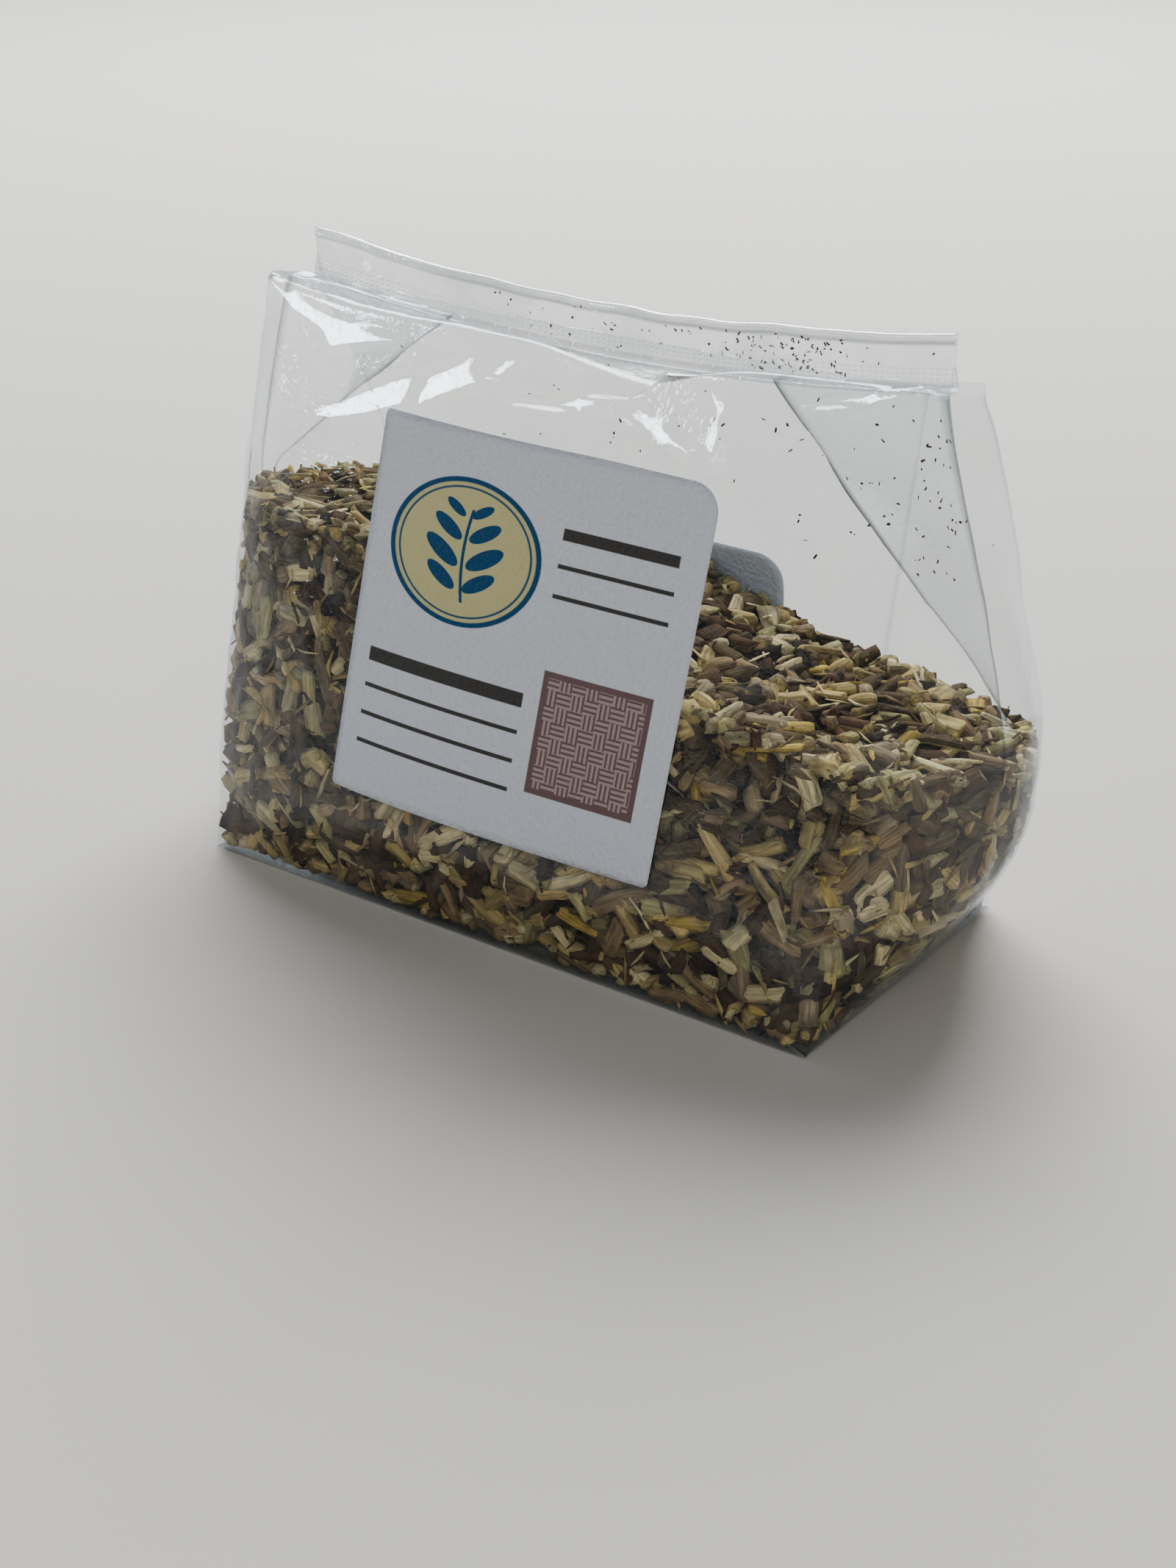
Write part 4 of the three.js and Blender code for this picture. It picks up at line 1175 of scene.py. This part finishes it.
def ellipse(u, v, middle, half, turn=0.0):
    """Under 1 inside a turned ellipse: (x / a)^2 + (y / b)^2."""
    x, y = u - middle[0], v - middle[1]
    across = (x * math.cos(turn) + y * math.sin(turn)) * (1 / half[0])
    up = (y * math.cos(turn) - x * math.sin(turn)) * (1 / half[1])
    return across * across + up * up


def box(u, v, middle, half):
    """The larger of |x| - a and |y| - b, under 0 inside a box."""
    across = (u - middle[0]).math("ABSOLUTE") - half[0]
    up = (v - middle[1]).math("ABSOLUTE") - half[1]
    return across.math("MAXIMUM", up)


def paper_base(name, tint):
    """White paper with a felt mark: a fine uneven bump, and faint mottling."""
    material, tree = new_material(name)
    surface = add_node(tree, "UVMap", uv_map="Surface")
    felt = add_node(tree, "TexNoise", {
        "Vector": surface.outputs[0], "Scale": 1.55, "Detail": 3, "Roughness": 0.55,
    }).outputs["Fac"]
    bump = add_node(tree, "Bump", {"Height": felt, "Strength": 1.0, "Distance": 0.4 * MM})
    mottle = two_tones(tree, felt, [0.93 * part for part in tint], tint, (0.3, 0.7))
    set_shader(tree, 0.72, 0.2, mottle, bump)
    return material


def print_over(tree, under, mask, ink):
    """A layer of print: ink where mask is 1, and what is under it elsewhere."""
    layer = add_node(tree, "Mix", {"Factor": mask.socket, "A": under, "B": (*ink, 1)}, data_type="RGBA")
    return layer.outputs["Result"]


INK_BLUE = (0.012, 0.085, 0.20)
INK_YELLOW = (0.62, 0.58, 0.32)
INK_GREY = (0.07, 0.065, 0.06)
INK_MAUVE = (0.20, 0.13, 0.13)
INK_ROSE = (0.46, 0.35, 0.34)

# The print's places on the label, each with its middle and half its size: an oval, a
# patch with a woven field in it, and ruled lines. A leaf is given by its height and reach.
OVAL, OVAL_HALF = (-9.5, 10.0), (11.6, 9.2)
PATCH, PATCH_HALF, WEAVE_HALF = (13.6, -9.8), (8.0, 8.0), (7.2, 7.2)
LEAVES = ((5.4, 2.7), (8.6, 3.1), (11.8, 2.6), (14.4, 1.8))
RULES = (
    ((13.2, 15.4), (8.4, 0.75)), ((13.2, 11.4), (8.4, 0.28)), ((13.2, 7.6), (8.4, 0.28)),
    ((-9.5, -6.4), (12.6, 0.95)), ((-9.5, -10.6), (12.6, 0.28)), ((-9.5, -14.4), (12.6, 0.28)),
    ((-9.5, -18.2), (12.6, 0.28)),
)


def woven(u, v):
    """1 on the threads of a basket weave, whose squares run across and up in turn."""
    over, under = (u * 1.57).math("SINE"), (v * 1.57).math("SINE")
    strand = (over * under + (u + v).math("SINE") * 0.12).math("GREATER_THAN", 0.0)
    return ((u * strand + v * (strand * -1.0 + 1.0)) * 9.4).math("SINE").math("GREATER_THAN", -0.2)


def printed_paper(name, tint):
    """The front label's print over its paper, layer by layer."""
    material = paper_base(name, tint)
    tree = material.node_tree
    base = tree.nodes["Principled BSDF"].inputs["Base Color"]
    u, v = flat_place(tree)
    oval = ellipse(u, v, OVAL, OVAL_HALF).math("SQRT")
    layers = [(oval.soft_below(1.0, 0.01), INK_YELLOW)]
    for at, half_line in ((1.0, 0.035), (0.9, 0.014)):
        layers.append(((oval - at).math("ABSOLUTE").soft_below(half_line, 0.008), INK_BLUE))
    bend = (v - OVAL[1]) * (v - OVAL[1]) * 0.02
    stem = (u - OVAL[0] - bend).math("ABSOLUTE").soft_below(0.24, 0.05)
    layers.append((stem * (v - 9.6).math("ABSOLUTE").below(6.0), INK_BLUE))
    for level, reach in LEAVES:
        for side in (-1, 1):
            middle = (OVAL[0] + side * (reach + 0.3), level + 1.1)
            leaf = ellipse(u, v, middle, (reach, reach * 0.36), side * 0.5)
            layers.append((leaf.soft_below(1.0, 0.06), INK_BLUE))
    layers += [(box(u, v, *rule).soft_below(0.0), INK_GREY) for rule in RULES]
    layers.append((box(u, v, PATCH, PATCH_HALF).soft_below(0.0), INK_MAUVE))
    layers.append((box(u, v, PATCH, WEAVE_HALF).soft_below(0.0) * woven(u, v), INK_ROSE))
    colour = base.links[0].from_socket
    for mask, ink in layers:
        colour = print_over(tree, colour, mask, ink)
    tree.links.new(colour, base)
    return material


PAPER = (0.72, 0.75, 0.82)
blank_paper = paper_base("Blank label paper", PAPER)
front_label = make_label(
    "label_front", 0, (LABEL_SIDE, LABEL_SIDE), (LABEL_X, LABEL_Z), LABEL_TILT, (0.8, 0.8, 3.9, 0.8),
)
front_label.data.materials.append(printed_paper("Printed label paper", PAPER))
front_label.data.materials.append(blank_paper)
thicken(front_label, "paper thickness", LABEL_THICKNESS).material_offset = 1
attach(front_label, "root")
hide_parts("front_label")

# Back label
# A lower blank label of the same paper with round corners is stuck to the back panel.
back_label = make_label(
    "label_back", 4, BACK_LABEL_SIZE, (BACK_LABEL_X, BACK_LABEL_Z), 0.0, (3.9, 3.9, 3.9, 3.9),
)
back_label.data.materials.append(blank_paper)
thicken(back_label, "paper thickness", LABEL_THICKNESS)
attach(back_label, "root")
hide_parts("back_label")

# Floor
# A plain pale surface that the bag stands on.
bpy.ops.mesh.primitive_plane_add(size=6.0, location=(0, 0, -0.0002))
floor = bpy.context.object
floor.name = "floor"
floor_paint, floor_tree = new_material("Pale floor")
floor_shader = floor_tree.nodes["Principled BSDF"]
floor_shader.inputs["Base Color"].default_value = (0.60, 0.57, 0.53, 1)
floor_shader.inputs["Roughness"].default_value = 0.9
floor_shader.inputs["Specular IOR Level"].default_value = 0.05
floor.data.materials.append(floor_paint)

# Light
# A broad soft light from behind and above on the left, a window-like one on the left
# that the film mirrors, a weak one from the front right, and an even pale surrounding.
BAG_MIDDLE = 0.04


def soft_light(name, direction, distance, width, height, power, colour):
    """A flat lamp that faces the bag from a direction, at a distance in metres."""
    lamp = bpy.data.lights.new(name, "AREA")
    lamp.shape = "RECTANGLE"
    lamp.size, lamp.size_y = width, height
    lamp.energy = power
    lamp.color = colour
    holder = add_object(name, lamp)
    holder.location = unit(np.array(direction)) * distance + np.array([0, 0, BAG_MIDDLE])
    backwards = holder.location.copy()
    backwards.z -= BAG_MIDDLE
    holder.rotation_euler = backwards.to_track_quat("Z", "Y").to_euler()
    return holder


soft_light("sky window", (-0.45, 0.75, 0.85), 1.3, 1.1, 0.8, 26.0, (0.93, 0.96, 1.0))
glint = soft_light("side window", (-0.86, -0.42, 0.34), 1.1, 0.42, 0.28, 9.0, (0.80, 0.92, 1.0))
glint.visible_diffuse = False
soft_light("front fill", (0.9, -1.0, 0.9), 1.6, 0.9, 0.9, 5.0, (1.0, 0.97, 0.93))
world = bpy.data.worlds.new("studio")
world.use_nodes = True
surround = world.node_tree.nodes["Background"]
surround.inputs["Color"].default_value = (0.62, 0.66, 0.70, 1)
surround.inputs["Strength"].default_value = 0.24
scene = bpy.context.scene
scene.world = world
scene.cycles.transparent_max_bounces = 48
scene.view_settings.look = "AgX - Medium High Contrast"
scene.view_settings.exposure = 0.3

# Camera
# It looks down at the bag's front and right side, as the photograph does.
CAMERA_AT = np.array([177.5, -246.4, 157.3])
AZIMUTH, ELEVATION = math.radians(35.9), math.radians(25.19)
FOCAL_PIXELS, IMAGE_HEIGHT, SENSOR = 3221.0, 2133.0, 36.0
lens = bpy.data.cameras.new("camera")
lens.sensor_fit = "VERTICAL"
lens.sensor_height = SENSOR
lens.lens = SENSOR * FOCAL_PIXELS / IMAGE_HEIGHT
lens.clip_start = 0.01
camera = add_object("camera", lens)
camera.location = (CAMERA_AT + origin) * MM
camera.rotation_euler = (math.pi / 2 - ELEVATION, 0, AZIMUTH)
scene.camera = camera
